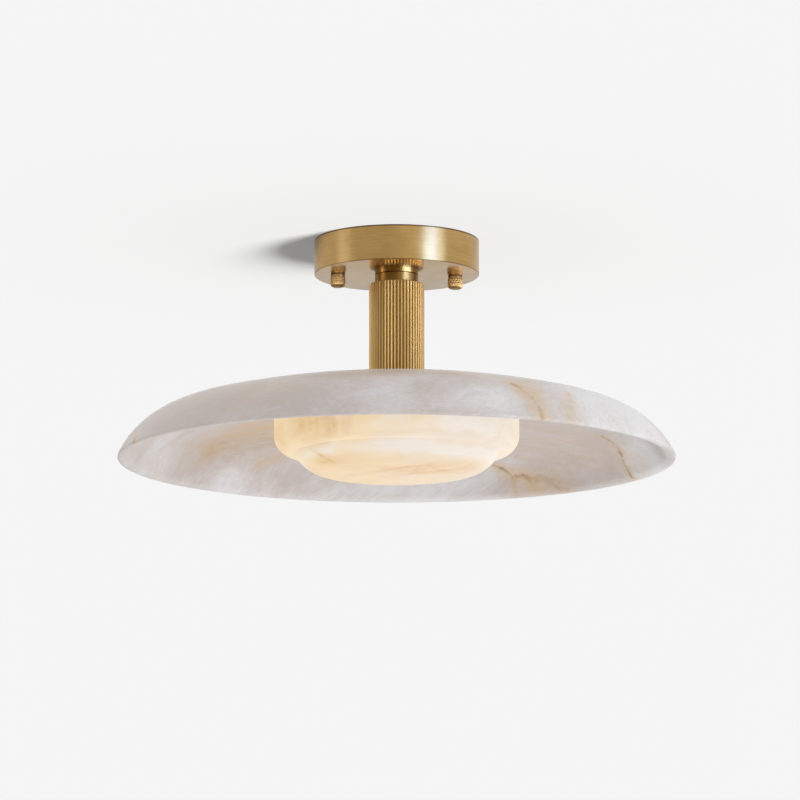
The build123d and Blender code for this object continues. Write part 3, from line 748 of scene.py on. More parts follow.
@dataclass(frozen=True)
class Brass:
    """Lacquered brass with tool marks, with painted shade as dark lines at some edges and joints and in the
    recesses.
    """

    name: str
    grain: Grain
    rough: float
    swing: float
    directional: float = 0.0
    blotch: float = 0.4
    light: Colour = rgb(0.585, 0.370, 0.138)
    dark: Colour = rgb(0.47, 0.284, 0.092)
    tone_edges: Range = (0.36, 0.62)
    tarnish: Noise = even(0.018)
    mark_depth: float = 0.00004
    mark_strength: float = 0.35
    mark_turn: float = 0.25
    # edges: painted shadow and shade lines where the brass meets the ceiling or another part
    edges: tuple[Stripe, ...] = ()
    # recess: the radii within which painted shade fills the flutes or the knurl valleys
    recess: Range | None = None
    # The colour of all this painted shade, and how much of it fills a recess.
    painted_shade: Colour = rgb(0.10, 0.05, 0.015)
    painted_shade_share: float = 0.55
    axis_x: float = 0.0

    def material(self) -> bpy.types.Material:
        """Builds the material.

        Returns:
            The material.
        """
        brass = Surface(self.name)
        place = brass.place()
        beside = abs(brass.part(place, "X")) - self.axis_x
        radius = brass.vector("LENGTH", brass.packed(beside, brass.part(place, "Y"), 0.0), output=1)
        track = brass.packed(radius, 0.0, 0.0) if self.grain is Grain.RINGS else place
        marks = brass.noise(track, self.grain.value)
        tarnish = brass.noise(place, self.tarnish)
        tone = brass.step(marks * (1 - self.blotch) + tarnish * self.blotch, *self.tone_edges)
        colour = brass.mix(self.dark, self.light, tone)
        # Painted shadow lines at edges and joints, then painted shade in the recesses.
        for edge in self.edges:
            colour = brass.mix(colour, self.painted_shade, brass.stripe(place, edge))
        if self.recess:
            colour = brass.mix(colour, self.painted_shade, brass.step(radius, *self.recess) * self.painted_shade_share)
        return brass.finish(
            {
                "Base Color": colour,
                "Metallic": 1.0,
                "Roughness": self.rough + marks.swing(self.swing),
                "Anisotropic": self.directional,
                "Anisotropic Rotation": self.mark_turn,
                "Normal": brass.bump(marks, self.mark_strength, self.mark_depth),
            }
        )


@dataclass(frozen=True)
class Plain:
    """A plated, painted, moulded or rubber surface: two close tones, a grain and a sheen."""

    name: str
    light: Colour
    dark: Colour
    rough: float
    metallic: float = 0.0
    grain: Place = (0.0012, 0.0012, 0.0012)
    grain_rough: float = 0.6
    grain_share: float = 0.4
    depth: float = 0.00003
    relief: float = 0.5
    cloud: Noise = even(0.012)
    swing: float = 0.14
    tone_edges: Range = (0.34, 0.66)

    def material(self) -> bpy.types.Material:
        """Builds the material.

        Returns:
            The material.
        """
        coat = Surface(self.name)
        place = coat.place()
        fine = coat.noise(place, Noise(self.grain, rough=self.grain_rough))
        broad = coat.noise(place, self.cloud)
        tone = coat.step(fine * self.grain_share + broad * (1 - self.grain_share), *self.tone_edges)
        return coat.finish(
            {
                "Base Color": coat.mix(self.dark, self.light, tone),
                "Metallic": self.metallic,
                "Roughness": self.rough + broad.swing(self.swing),
                "Normal": coat.bump(fine, self.relief, self.depth),
            }
        )


PLAIN_FINISHES = (
    Plain(
        "zinc_steel", rgb(0.66, 0.66, 0.63), rgb(0.50, 0.51, 0.50), rough=0.34, metallic=1.0,
        grain=(0.004, 0.0003, 0.0003),
    ),
    Plain("earth_brass", rgb(0.72, 0.52, 0.24), rgb(0.56, 0.37, 0.14), rough=0.32, metallic=1.0),
    Plain("silicone", rgb(0.74, 0.73, 0.70), rgb(0.64, 0.63, 0.60), rough=0.55),
    Plain("carrier_white", rgb(0.82, 0.81, 0.78), rgb(0.76, 0.75, 0.72), rough=0.45, depth=0.00008),
    Plain(
        "aluminium_plain", rgb(0.76, 0.77, 0.78), rgb(0.62, 0.63, 0.65), rough=0.3, metallic=1.0,
        grain=(0.0004, 0.02, 0.0004),
    ),
    Plain("board_white", rgb(0.86, 0.86, 0.83), rgb(0.80, 0.80, 0.76), rough=0.38),
    Plain(
        "led_yellow", rgb(0.90, 0.62, 0.10), rgb(0.80, 0.50, 0.06), rough=0.5,
        grain=(0.0002, 0.0002, 0.0002),
    ),
    Plain("plastic_white", rgb(0.80, 0.80, 0.78), rgb(0.73, 0.73, 0.70), rough=0.42),
    Plain("nylon_natural", rgb(0.76, 0.74, 0.66), rgb(0.66, 0.63, 0.54), rough=0.40),
    Plain("foam_grey", rgb(0.16, 0.16, 0.17), rgb(0.08, 0.08, 0.085), rough=0.9, depth=0.0003),
    Plain("lead_blue", rgb(0.05, 0.14, 0.45), rgb(0.03, 0.09, 0.33), rough=0.4),
    Plain("lead_brown", rgb(0.17, 0.075, 0.03), rgb(0.11, 0.045, 0.018), rough=0.4),
    Plain("lead_white", rgb(0.78, 0.78, 0.75), rgb(0.70, 0.70, 0.66), rough=0.42),
)


class Finishes:
    """Every material of the lamp, by name: the record's material slots, and two more brasses."""

    # Painted shadow lines: the canopy's top against the ceiling, the collar's top and the nuts' tops against
    # the canopy; and painted shade along the canopy's lower edge.
    rim_shadow_line = Stripe(0.0, 0.0014, 0.9)
    foot_shade_line = Stripe(0.0, 0.0010, 0.5)
    collar_shadow_line = Stripe(0.0, 0.0007, 0.45)
    nut_shadow_line = Stripe(0.0, 0.0012, 0.9)
    # Depths below the crests from which painted shade fills the flutes and the knurl valleys.
    flute_shade_depths = (0.00015, 0.0006)
    knurl_shade_depths = (0.00012, 0.00036)

    def __init__(self) -> None:
        """Builds the materials once."""
        finishes = (ShadeStone(), DiffuserStone(), *self.brasses(), *PLAIN_FINISHES)
        self._made = {finish.name: finish.material() for finish in finishes}

    def __getitem__(self, name: str) -> bpy.types.Material:
        """The material of that name."""
        return self._made[name]

    def brasses(self) -> tuple[Brass, ...]:
        """The brasses, with painted shadow lines at the canopy's edges and joints, and painted shade in the
        flutes and the knurl.

        Returns:
            The finishes.
        """
        foot, rim = (corner.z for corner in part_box("canopy"))
        stem_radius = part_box("stem")[1].x
        nut_low, nut_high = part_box("canopy_nut_right")
        return (
            Brass(
                "brass_brushed", Grain.ROUND, rough=0.37, swing=0.12, directional=0.95,
                edges=(self.rim_shadow_line.raised(rim), self.foot_shade_line.raised(foot)),
            ),
            Brass(
                "brass_canopy_face", Grain.RINGS, rough=0.15, swing=0.05, directional=0.9,
                light=rgb(0.63, 0.43, 0.20), dark=rgb(0.52, 0.34, 0.15), mark_depth=0.00001,
            ),
            Brass(
                "brass_fluted", Grain.ALONG, rough=0.34, swing=0.04, directional=0.95, blotch=0.1,
                light=rgb(0.64, 0.43, 0.18), dark=rgb(0.57, 0.36, 0.13), mark_depth=0.00001,
                recess=tuple(stem_radius - depth for depth in self.flute_shade_depths),
                painted_shade=rgb(0.16, 0.08, 0.015), painted_shade_share=0.95,
            ),
            # Much darker than the other brasses: painted shade for the dark canopy underside that the collar
            # mirrors.
            Brass(
                "brass_turned", Grain.ROUND, rough=0.30, swing=0.08, directional=0.3,
                light=rgb(0.36, 0.20, 0.043), dark=rgb(0.28, 0.15, 0.03),
                edges=(self.collar_shadow_line.raised(foot),),
            ),
            Brass(
                "brass_knurled", Grain.ROUND, rough=0.48, swing=0.08,
                light=rgb(0.62, 0.42, 0.19), dark=rgb(0.48, 0.31, 0.12),
                edges=(self.nut_shadow_line.raised(foot),), axis_x=(nut_low.x + nut_high.x) / 2,
                recess=tuple(nut_high.y - depth for depth in self.knurl_shade_depths), painted_shade_share=0.45,
            ),
        )


def arc(centre: Point, radius: float, start: float, end: float, steps: int) -> list[Point]:
    """Points of an arc.

    Args:
        centre: The arc's centre, as radius and height.
        radius: The arc's own radius.
        start: Its first angle, in degrees from the outward direction towards up.
        end: Its last angle.
        steps: How many straight runs stand for it.

    Returns:
        The points from first to last.
    """
    angles = [math.radians(start + (end - start) * step / steps) for step in range(steps + 1)]
    return [(centre[0] + radius * math.cos(a), centre[1] + radius * math.sin(a)) for a in angles]


def rounded(before: Point, corner: Point, after: Point, radius: float, steps: int = 6) -> list[Point]:
    """The points of a rounded corner between two straight lines.

    Args:
        before: A point on the line that comes in.
        corner: Where the lines would meet.
        after: A point on the line that goes out.
        radius: The corner's radius.
        steps: How many straight runs stand for it.

    Returns:
        The points in order.
    """
    middle = Vector(corner)
    back = (Vector(before) - middle).normalized()
    ahead = (Vector(after) - middle).normalized()
    half = back.angle(ahead) / 2
    centre = middle + (back + ahead).normalized() * (radius / math.sin(half))
    first = middle + back * (radius / math.tan(half)) - centre
    sweep = first.angle_signed(middle + ahead * (radius / math.tan(half)) - centre)
    start = math.degrees(math.atan2(first.y, first.x))
    return arc(tuple(centre), radius, start, start - math.degrees(sweep), steps)


def ring(build: bmesh.types.BMesh, radius: float, height: float, segments: int) -> list[bmesh.types.BMVert]:
    """Adds the points of a level circle about the Z axis.

    Args:
        build: The mesh that is built.
        radius: The circle's radius; on the axis, one point stands for all.
        height: Its height.
        segments: How many points there are.

    Returns:
        The points in order.
    """
    if radius < TINY:
        return [build.verts.new((0.0, 0.0, height))] * segments
    angles = [2 * math.pi * step / segments for step in range(segments)]
    return [build.verts.new((radius * math.cos(a), radius * math.sin(a), height)) for a in angles]


def band(build: bmesh.types.BMesh, first: list[bmesh.types.BMVert], second: list[bmesh.types.BMVert]) -> None:
    """Adds the faces between two rings.

    Args:
        build: The mesh that is built.
        first: One ring's points.
        second: The other's, as many.
    """
    for step in range(len(first)):
        beside = (step + 1) % len(first)
        corners = list(dict.fromkeys([first[step], first[beside], second[beside], second[step]]))
        if len(corners) > 2:
            build.faces.new(corners)


def mesh_of(name: str, build: bmesh.types.BMesh) -> bpy.types.Mesh:
    """The finished mesh of a build, which ends with it.

    Args:
        name: The mesh's name.
        build: The mesh that was built.

    Returns:
        The mesh.
    """
    mesh = bpy.data.meshes.new(name)
    build.to_mesh(mesh)
    build.free()
    return mesh


def lathe(name: str, outline: Sequence[Point], segments: int) -> bpy.types.Mesh:
    """Turns a closed outline about the Z axis.

    Args:
        name: The mesh's name.
        outline: Points as radius and height; a point on the axis becomes a pole.
        segments: How many facets there are round the axis.

    Returns:
        A closed mesh whose faces point outwards.
    """
    build = bmesh.new()
    rings = [ring(build, radius, height, segments) for radius, height in outline]
    for first, second in zip(rings, rings[1:] + rings[:1]):
        band(build, first, second)
    bmesh.ops.recalc_face_normals(build, faces=build.faces)
    return mesh_of(name, build)


def shaded(mesh: bpy.types.Mesh, crease: float = 30.0) -> bpy.types.Mesh:
    """Shades a mesh smooth.

    Args:
        mesh: The mesh.
        crease: The angle in degrees past which an edge stays sharp.

    Returns:
        The same mesh.
    """
    mesh.polygons.foreach_set("use_smooth", [True] * len(mesh.polygons))
    mesh.set_sharp_from_angle(angle=math.radians(crease))
    return mesh


def joined(name: str, parts: Sequence[bpy.types.Mesh]) -> bpy.types.Mesh:
    """Puts several meshes into one, with their materials.

    Args:
        name: The new mesh's name.
        parts: The meshes.

    Returns:
        The new mesh.
    """
    build = bmesh.new()
    materials = list(dict.fromkeys(material for part in parts for material in part.materials))
    for part in parts:
        first = len(build.faces)
        build.from_mesh(part)
        build.faces.ensure_lookup_table()
        for face in build.faces[first:]:
            face.material_index = materials.index(part.materials[face.material_index])
    mesh = mesh_of(name, build)
    for material in materials:
        mesh.materials.append(material)
    return mesh


def painted(mesh: bpy.types.Mesh, *materials: bpy.types.Material) -> bpy.types.Mesh:
    """Gives a mesh its materials.

    Args:
        mesh: The mesh.
        materials: The materials; the first goes on every face.

    Returns:
        The same mesh.
    """
    mesh.materials.clear()
    for material in materials:
        mesh.materials.append(material)
    return mesh


def moved(mesh: bpy.types.Mesh, x: float, y: float, z: float) -> bpy.types.Mesh:
    """Shifts a mesh."""
    mesh.transform(Matrix.Translation((x, y, z)))
    return mesh


def shown(name: str, data: bpy.types.ID) -> bpy.types.Object:
    """A new object in the scene.

    Args:
        name: The object's name.
        data: Its mesh, lamp or camera.

    Returns:
        The object.
    """
    thing = bpy.data.objects.new(name, data)
    bpy.context.scene.collection.objects.link(thing)
    return thing


def add_piece(name: str, mesh: bpy.types.Mesh, body: Body, slot: str, *nodes: str) -> bpy.types.Object:
    """Adds a finished piece to the lamp.

    Args:
        name: The piece's name.
        mesh: Its mesh, in place and with its materials.
        body: The body that it rides on.
        slot: The record's material slot of its finish; not used.
        nodes: The frame's nodes that it stands for.

    Returns:
        The piece.
    """
    piece = shown(name, mesh)
    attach(piece, body.value)
    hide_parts(*nodes)
    LOG.info("%s: %d faces, rides on %s", name, len(mesh.polygons), body.value)
    return piece


class Shape:
    """A Geometry Nodes tree with named inputs, which is turned into plain meshes."""

    def __init__(self, name: str, **inputs: str) -> None:
        """Makes an empty tree.

        Args:
            name: The tree's name.
            inputs: The kind of each input, by its name.
        """
        self.tree = bpy.data.node_groups.new(name, "GeometryNodeTree")
        self.tree.interface.new_socket("Geometry", in_out="OUTPUT", socket_type="NodeSocketGeometry")
        for label, kind in inputs.items():
            self.tree.interface.new_socket(label, in_out="INPUT", socket_type=f"NodeSocket{kind}")
        self.graph = Graph(self.tree)
        self._inputs = self.tree.nodes.new("NodeGroupInput")

    def __getitem__(self, label: str) -> Term:
        """An input of the tree."""
        return Term(self.graph, self._inputs.outputs[label])

    def op(self, kind: str, **sockets: Any) -> Term:
        """A geometry node, with its inputs by name; a low line stands for a blank."""
        named = {key.replace("_", " "): value for key, value in sockets.items()}
        return self.graph.node(f"GeometryNode{kind}", None, named)

    def dressed(self, geometry: Term, label: str = "material") -> Term:
        """A geometry with the material of that input."""
        return self.op("SetMaterial", Geometry=geometry, Material=self[label])

    def end(self, geometry: Term) -> None:
        """Ends the tree in this geometry, with its instances made real."""
        real = self.op("RealizeInstances", Geometry=geometry)
        self.graph.node("NodeGroupOutput", None, {"Geometry": real})

    def mesh(self, name: str, **values: Any) -> bpy.types.Mesh:
        """A plain mesh of the tree.

        Args:
            name: The mesh's name.
            values: The value of each input, by its name.

        Returns:
            The mesh.
        """
        holder = shown(name, bpy.data.meshes.new(name))
        modifier = holder.modifiers.new(name, "NODES")
        modifier.node_group = self.tree
        for item in self.tree.interface.items_tree:
            if item.in_out == "INPUT":
                modifier[item.identifier] = values[item.name]
        graph = bpy.context.evaluated_depsgraph_get()
        mesh = bpy.data.meshes.new_from_object(holder.evaluated_get(graph))
        bpy.data.objects.remove(holder)
        mesh.name = name
        return mesh


class FluteShape(Shape):
    """A rod with round flutes along it: each flute is an arc, and the crests are chamfered at both ends."""

    def __init__(self, arc_steps: int, crest_steps: int) -> None:
        """Builds the tree.

        Args:
            arc_steps: How many runs stand for a flute's arc.
            crest_steps: How many runs stand for the crest beside it.
        """
        super().__init__(
            "fluted_rod", flutes="Int", radius="Float", flute="Float", length="Float", chamfer="Float",
            start="Float", bottom="Float", material="Material",
        )
        graph = self.graph
        radius, bite, chamfer = self["radius"], self["flute"], self["chamfer"]
        steps = arc_steps + crest_steps
        count = self["flutes"] * steps
        rod = self.op("MeshCylinder", Vertices=count, Side_Segments=3, Radius=1.0, Depth=1.0)
        place = self.op("InputPosition")
        angle = graph.math("ARCTAN2", graph.part(place, "Y"), graph.part(place, "X"))
        turn = 2 * math.pi / self["flutes"]
        index = (angle * count / (2 * math.pi) + 0.5).floor()
        flute = (index / steps).floor()
        step = index - flute * steps

        edge = graph.math("ARCSINE", bite / radius)
        across = step * (math.pi / arc_steps) - math.pi / 2
        crest = edge + (step - arc_steps) / crest_steps * (turn - edge * 2)
        on_crest = step > arc_steps - 0.5
        on_arc = 1 - on_crest
        outward = on_arc * (radius - bite * across.cosine()) + on_crest * radius * crest.cosine()
        sideways = on_arc * bite * across.sine() + on_crest * radius * crest.sine()

        level = graph.part(place, "Z")
        over_foot, over_middle, over_top = level > -1 / 3, level > 0.0, level > 1 / 3
        height = over_foot * chamfer + over_middle * (self["length"] - chamfer * 2) + over_top * chamfer
        at_end = 1 - over_foot + over_top
        reach = graph.math("SQRT", outward * outward + sideways * sideways)
        shrink = ((radius - at_end * chamfer) / reach).at_most(1.0)
        heading = flute * turn + self["start"]
        x = (outward * heading.cosine() - sideways * heading.sine()) * shrink
        y = (outward * heading.sine() + sideways * heading.cosine()) * shrink
        target = graph.packed(x, y, height + self["bottom"])
        self.end(self.dressed(self.op("SetPosition", Geometry=rod, Position=target)))


class KnurlShape(Shape):
    """Rows of small pyramids round a band, each row half a step on from the last."""

    def __init__(self) -> None:
        """Builds the tree."""
        super().__init__(
            "diamond_knurl", columns="Int", rows="Int", radius="Float", depth="Float", bottom="Float",
            height="Float", material="Material",
        )
        graph = self.graph
        radius, columns = self["radius"], self["columns"]
        index = self.op("InputIndex")
        row = (index / columns).floor()
        column = index - row * columns
        shift = row * 0.5 - (row * 0.5).floor()
        angle = (column + shift) * (2 * math.pi) / columns
        pitch = self["height"] / self["rows"]
        level = self["bottom"] + (row + 0.5) * pitch
        place = graph.packed(radius * angle.cosine(), radius * angle.sine(), level)
        points = self.op("Points", Count=columns * self["rows"], Position=place)
        pyramid = self.op("MeshCone", Vertices=4, Radius_Top=0.0, Radius_Bottom=1.0, Depth=1.0)
        size = graph.packed(pitch, radius * math.pi / columns, self["depth"])
        sized = self.op("Transform", Geometry=pyramid, Scale=size)
        outward = self.op("Transform", Geometry=sized, Rotation=(0.0, math.pi / 2, 0.0))
        heading = graph.packed(0.0, 0.0, angle)
        self.end(self.dressed(self.op("InstanceOnPoints", Points=points, Instance=outward, Rotation=heading)))


class ThreadShape(Shape):
    """The ridge of a screw thread, as a round wire wound up a rod."""

    def __init__(self, steps_per_turn: int, sides: int) -> None:
        """Builds the tree.

        Args:
            steps_per_turn: How many runs stand for a turn.
            sides: How many sides the ridge has.
        """
        super().__init__(
            "screw_thread", radius="Float", ridge="Float", pitch="Float", length="Float", bottom="Float",
            x="Float", material="Material",
        )
        middle = self["radius"] - self["ridge"]
        wire = self.op(
            "CurveSpiral",
            Resolution=steps_per_turn,
            Rotations=self["length"] / self["pitch"],
            Start_Radius=middle,
            End_Radius=middle,
            Height=self["length"],
        )
        section = self.op("CurvePrimitiveCircle", Resolution=sides, Radius=self["ridge"])
        ridge = self.op("CurveToMesh", Curve=wire, Profile_Curve=section, Fill_Caps=True)
        place = self.graph.packed(self["x"], 0.0, self["bottom"])
        self.end(self.dressed(self.op("Transform", Geometry=ridge, Translation=place)))


class DiodeShape(Shape):
    """A ring of light-emitting diodes: each a white square package with a round yellow face."""

    def __init__(self, face_share: float, face_depth: float, facets: int) -> None:
        """Builds the tree.

        Args:
            face_share: The yellow face's diameter as a share of the package's side.
            face_depth: How far the face stands below the package, as a share of its height.
            facets: How many facets the round face has.
        """
        super().__init__(
            "diode_ring", count="Int", radius="Float", start="Float", top="Float", size="Float",
            height="Float", package="Material", face="Material",
        )
        graph = self.graph
        radius, size, height = self["radius"], self["size"], self["height"]
        angle = self["start"] + self.op("InputIndex") * (2 * math.pi) / self["count"]
        place = graph.packed(radius * angle.cosine(), radius * angle.sine(), self["top"] - height * 0.5)
        points = self.op("Points", Count=self["count"], Position=place)
        package = self.op("MeshCube", Size=graph.packed(size, size, height * (1 - face_depth)))
        lift = graph.packed(0.0, 0.0, height * (face_depth / 2))
        package = self.dressed(self.op("Transform", Geometry=package, Translation=lift), "package")
        face = self.op("MeshCylinder", Vertices=facets, Radius=size * (face_share / 2), Depth=height)
        both = self.tree.nodes.new("GeometryNodeJoinGeometry")
        for half in (package, self.dressed(face, "face")):
            self.tree.links.new(half.socket, both.inputs[0])
        diode = Term(graph, both.outputs[0])
        heading = graph.packed(0.0, 0.0, angle)
        self.end(self.op("InstanceOnPoints", Points=points, Instance=diode, Rotation=heading))


@dataclass
class Canopy:
    """The spun brass cup against the ceiling."""

    finishes: Finishes
    wall: float = 0.0015
    edge_round: float = 0.0007
    passage: float = 0.00525
    segments: int = 256
    face_down: float = -0.9

    def build(self) -> bpy.types.Mesh:
        """Turns the cup.

        Returns:
            Its mesh.
        """
        low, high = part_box("canopy")
        radius = high.x
        floor = low.z + self.wall
        outline = [
            (self.passage, low.z),
            *rounded((self.passage, low.z), (radius, low.z), (radius, high.z), self.edge_round),
            (radius, high.z),
            (radius - self.wall, high.z),
            (radius - self.wall, floor),
            (self.passage, floor),
        ]
        return shaded(lathe("canopy", outline, self.segments))

    def dress(self) -> None:
        """Brushes the wall round, and leaves the face below smoother."""
        mesh = painted(self.build(), self.finishes["brass_brushed"], self.finishes["brass_canopy_face"])
        for face in mesh.polygons:
            face.material_index = int(face.normal.z < self.face_down)
        add_piece("canopy_cup", mesh, Body.FIXTURE, "brass_brushed", "canopy")


@dataclass
class FingerNut:
    """A knurled brass nut that holds the canopy up."""

    finishes: Finishes
    node: str
    body: Body
    knurl: KnurlShape
    neck_radius: float = 0.0051
    neck_height: float = 0.002
    band_height: float = 0.0048
    end_round: float = 0.0025
    end_steps: int = 8
    bore: float = 0.00205
    bore_depth: float = 0.007
    knurl_depth: float = 0.0004
    knurl_sink: float = 0.00006
    knurl_margin: float = 0.0003
    columns: int = 16
    rows: int = 3
    segments: int = 64

    def build(self) -> bpy.types.Mesh:
        """Turns the nut and lays the knurl round its band.

        Returns:
            Its mesh, in place.
        """
        low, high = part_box(self.node)
        radius = (high.x - low.x) / 2
        root = radius - self.knurl_depth + self.knurl_sink
        band_top = high.z - self.neck_height
        band_bottom = band_top - self.band_height
        margin = self.knurl_margin
        outline = [
            (self.bore, high.z),
            (self.neck_radius, high.z),
            (self.neck_radius, band_top),
            (radius - margin, band_top),
            (radius, band_top - margin / 2),
            (radius, band_top - margin),
            (root, band_top - margin * 1.5),
            (root, band_bottom + margin / 2),
            (radius, band_bottom),
            *rounded((radius, band_bottom), (radius, low.z), (0.0, low.z), self.end_round, self.end_steps),
            (0.0, low.z),
            (0.0, high.z - self.bore_depth),
            (self.bore, high.z - self.bore_depth),
        ]
        brass = self.finishes["brass_knurled"]
        turned = painted(shaded(lathe(self.node, outline, self.segments)), brass)
        knurl = self.knurl.mesh(
            f"{self.node}_knurl",
            columns=self.columns,
            rows=self.rows,
            radius=root - self.knurl_sink,
            depth=self.knurl_depth,
            bottom=band_bottom + margin / 2,
            height=self.band_height - margin * 2,
            material=brass,
        )
        return moved(joined(self.node, [turned, knurl]), (low.x + high.x) / 2, 0.0, 0.0)

    def dress(self) -> None:
        """Adds the nut to its body."""
        add_piece(f"{self.node}_knurled", self.build(), self.body, "brass_turned", self.node)


@dataclass
class Stem:
    """The fluted brass stem and the plain collar over it."""

    finishes: Finishes
    flutes: int = 52
    flute_radius: float = 0.00068
    start_angle: float = 2.3
    chamfer: float = 0.0005
    arc_steps: int = 10
    crest_steps: int = 4
    collar_chamfer: float = 0.0003
    passage: float = 0.00525
    segments: int = 128

    @staticmethod
    def radius() -> float:
        """The stem's radius over its crests, which may miss the axes of its box."""
        corners = frame["nodes"]["stem"].data.vertices
        return max(math.hypot(corner.co.x, corner.co.y) for corner in corners)

    def fluted(self) -> bpy.types.Mesh:
        """Cuts the fluted rod.

        Returns:
            Its mesh.
        """
        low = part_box("stem")[0].z
        rod = FluteShape(self.arc_steps, self.crest_steps).mesh(
            "stem_fluted",
            flutes=self.flutes,
            radius=self.radius(),
            flute=self.flute_radius,
            length=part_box("collar")[0].z - low,
            chamfer=self.chamfer,
            start=math.radians(self.start_angle),
            bottom=low,
            material=self.finishes["brass_fluted"],
        )
        return shaded(rod)

    def collar(self) -> bpy.types.Mesh:
        """Turns the plain collar.

        Returns:
            Its mesh.
        """
        low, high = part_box("collar")
        edge = high.x - self.collar_chamfer
        outline = [
            (self.passage, low.z),
            (edge, low.z),
            (high.x, low.z + self.collar_chamfer),
            (high.x, high.z - self.collar_chamfer),
            (edge, high.z),
            (self.passage, high.z),
        ]
        return painted(shaded(lathe("collar", outline, self.segments)), self.finishes["brass_turned"])

    def dress(self) -> None:
        """Adds both pieces."""
        add_piece("stem_fluted", self.fluted(), Body.FIXTURE, "brass_fluted", "stem")
        add_piece("collar_turned", self.collar(), Body.FIXTURE, "brass_turned", "collar")


@dataclass
class Shade:
    """The turned alabaster dome: a shallow crown, a tight shoulder and a rounded rim."""

    finishes: Finishes
    rim_radius: float = 0.2008
    height: float = 0.057
    shoulder: float = 0.066
    rim_angle: float = 66.0
    wall: float = 0.007
    rim_round: float = 0.0014
    rim_roll: float = 0.008
    hole: float = 0.0065
    seat: float = 0.022
    inner_seat: float = 0.032
    crease: float = 24.0
    segments: int = 320
    crown_steps: int = 24
    shoulder_steps: int = 22
    rim_steps: int = 10

    @staticmethod
    def tangent(middle: Point, reach: float, radius: float) -> tuple[Point, float]:
        """Where a rim's rounding lies.

        Args:
            middle: The shoulder's centre.
            reach: The distance from there to the rounding's centre.
            radius: The rounding's radius, which is also its centre's height over the rim plane.

        Returns:
            The rounding's centre, and the angle at which it meets the shoulder.
        """
        rise = radius - middle[1]
        run = math.sqrt(reach**2 - rise**2)
        return (middle[0] + run, radius), math.degrees(math.atan2(rise, run))

    def build(self) -> bpy.types.Mesh:
        """Turns the dome, with the same curves as the solid.

        Returns:
            Its mesh, in place.
        """
        slope = math.radians(self.rim_angle)
        centre_r = self.rim_radius - self.shoulder * math.sin(slope)
        centre_z = -self.shoulder * math.cos(slope)
        drop = centre_z - self.height
        crown = (centre_r**2 + drop**2 - self.shoulder**2) / (-2 * (drop + self.shoulder))
        inner_crown = crown - self.wall
        inner_shoulder = self.shoulder - self.wall
        top = (0.0, self.height - crown)
        middle = (centre_r, centre_z)
        turn = 90 - math.degrees(math.atan2(centre_r, centre_z - top[1]))
        seat = 90 - math.degrees(math.asin(self.seat / crown))
        inner_seat = 90 - math.degrees(math.asin(self.inner_seat / inner_crown))
        edge, edge_angle = self.tangent(middle, self.shoulder - self.rim_round, self.rim_round)
        roll, roll_angle = self.tangent(middle, inner_shoulder + self.rim_roll, self.rim_roll)
        outline = [
            *arc(top, crown, seat, turn, self.crown_steps),
            *arc(middle, self.shoulder, turn, edge_angle, self.shoulder_steps)[1:],
            *arc(edge, self.rim_round, edge_angle, -90, self.rim_steps)[1:],
            *arc(roll, self.rim_roll, -90, roll_angle - 180, self.rim_steps),
            *arc(middle, inner_shoulder, roll_angle, turn, self.shoulder_steps)[1:],
            *arc(top, inner_crown, turn, inner_seat, self.crown_steps)[1:],
        ]
        outline += [(self.hole, outline[-1][1]), (self.hole, outline[0][1])]
        turned = shaded(lathe("shade", outline, self.segments), self.crease)
        return moved(turned, 0.0, 0.0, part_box("shade")[0].z)

    def dress(self) -> None:
        """Adds the dome."""
        mesh = painted(self.build(), self.finishes["alabaster_shade"])
        add_piece("shade_dome", mesh, Body.FIXTURE, "alabaster_shade", "shade")


@dataclass
class Diffuser:
    """The stepped alabaster bowl under the shade."""

    finishes: Finishes
    wall: float = 0.007
    step_height: float = 0.0145
    ledge: float = 0.0018
    upper_round: float = 0.013
    lower_round: float = 0.028
    edge_round: float = 0.001
    crease: float = 24.0
    segments: int = 256
    round_steps: int = 20

    def build(self) -> bpy.types.Mesh:
        """Turns the bowl, with the same curves as the solid.

        Returns:
            Its mesh, in place.
        """
        low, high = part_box("diffuser")
        radius = high.x
        top = high.z - low.z
        ledge_r = radius - self.upper_round
        inner_lower = self.lower_round - self.wall
        slope = math.asin((self.lower_round - self.step_height) / self.lower_round)
        inner_slope = math.asin((inner_lower - self.step_height) / inner_lower)
        lower = (ledge_r - self.ledge - self.lower_round * math.cos(slope), self.lower_round)
        upper = (ledge_r, self.step_height + self.upper_round)
        steps = self.round_steps
        outline = [
            (0.0, self.wall),
            (0.0, 0.0),
            *arc(lower, self.lower_round, -90, -math.degrees(slope), steps),
            *arc(upper, self.upper_round, -90, 0, steps),
            *rounded((radius, 0.0), (radius, top), (0.0, top), self.edge_round),
            (radius - self.wall, top),
            *arc(upper, self.upper_round - self.wall, 0, -90, steps),
            *arc(lower, inner_lower, -math.degrees(inner_slope), -90, steps),
        ]
        return moved(shaded(lathe("diffuser", outline, self.segments), self.crease), 0.0, 0.0, low.z)

    def dress(self) -> None:
        """Adds the bowl to its turning body."""
        mesh = painted(self.build(), self.finishes["alabaster_diffuser"])
        add_piece("diffuser_bowl", mesh, Body.DIFFUSER, "alabaster_diffuser", "diffuser")


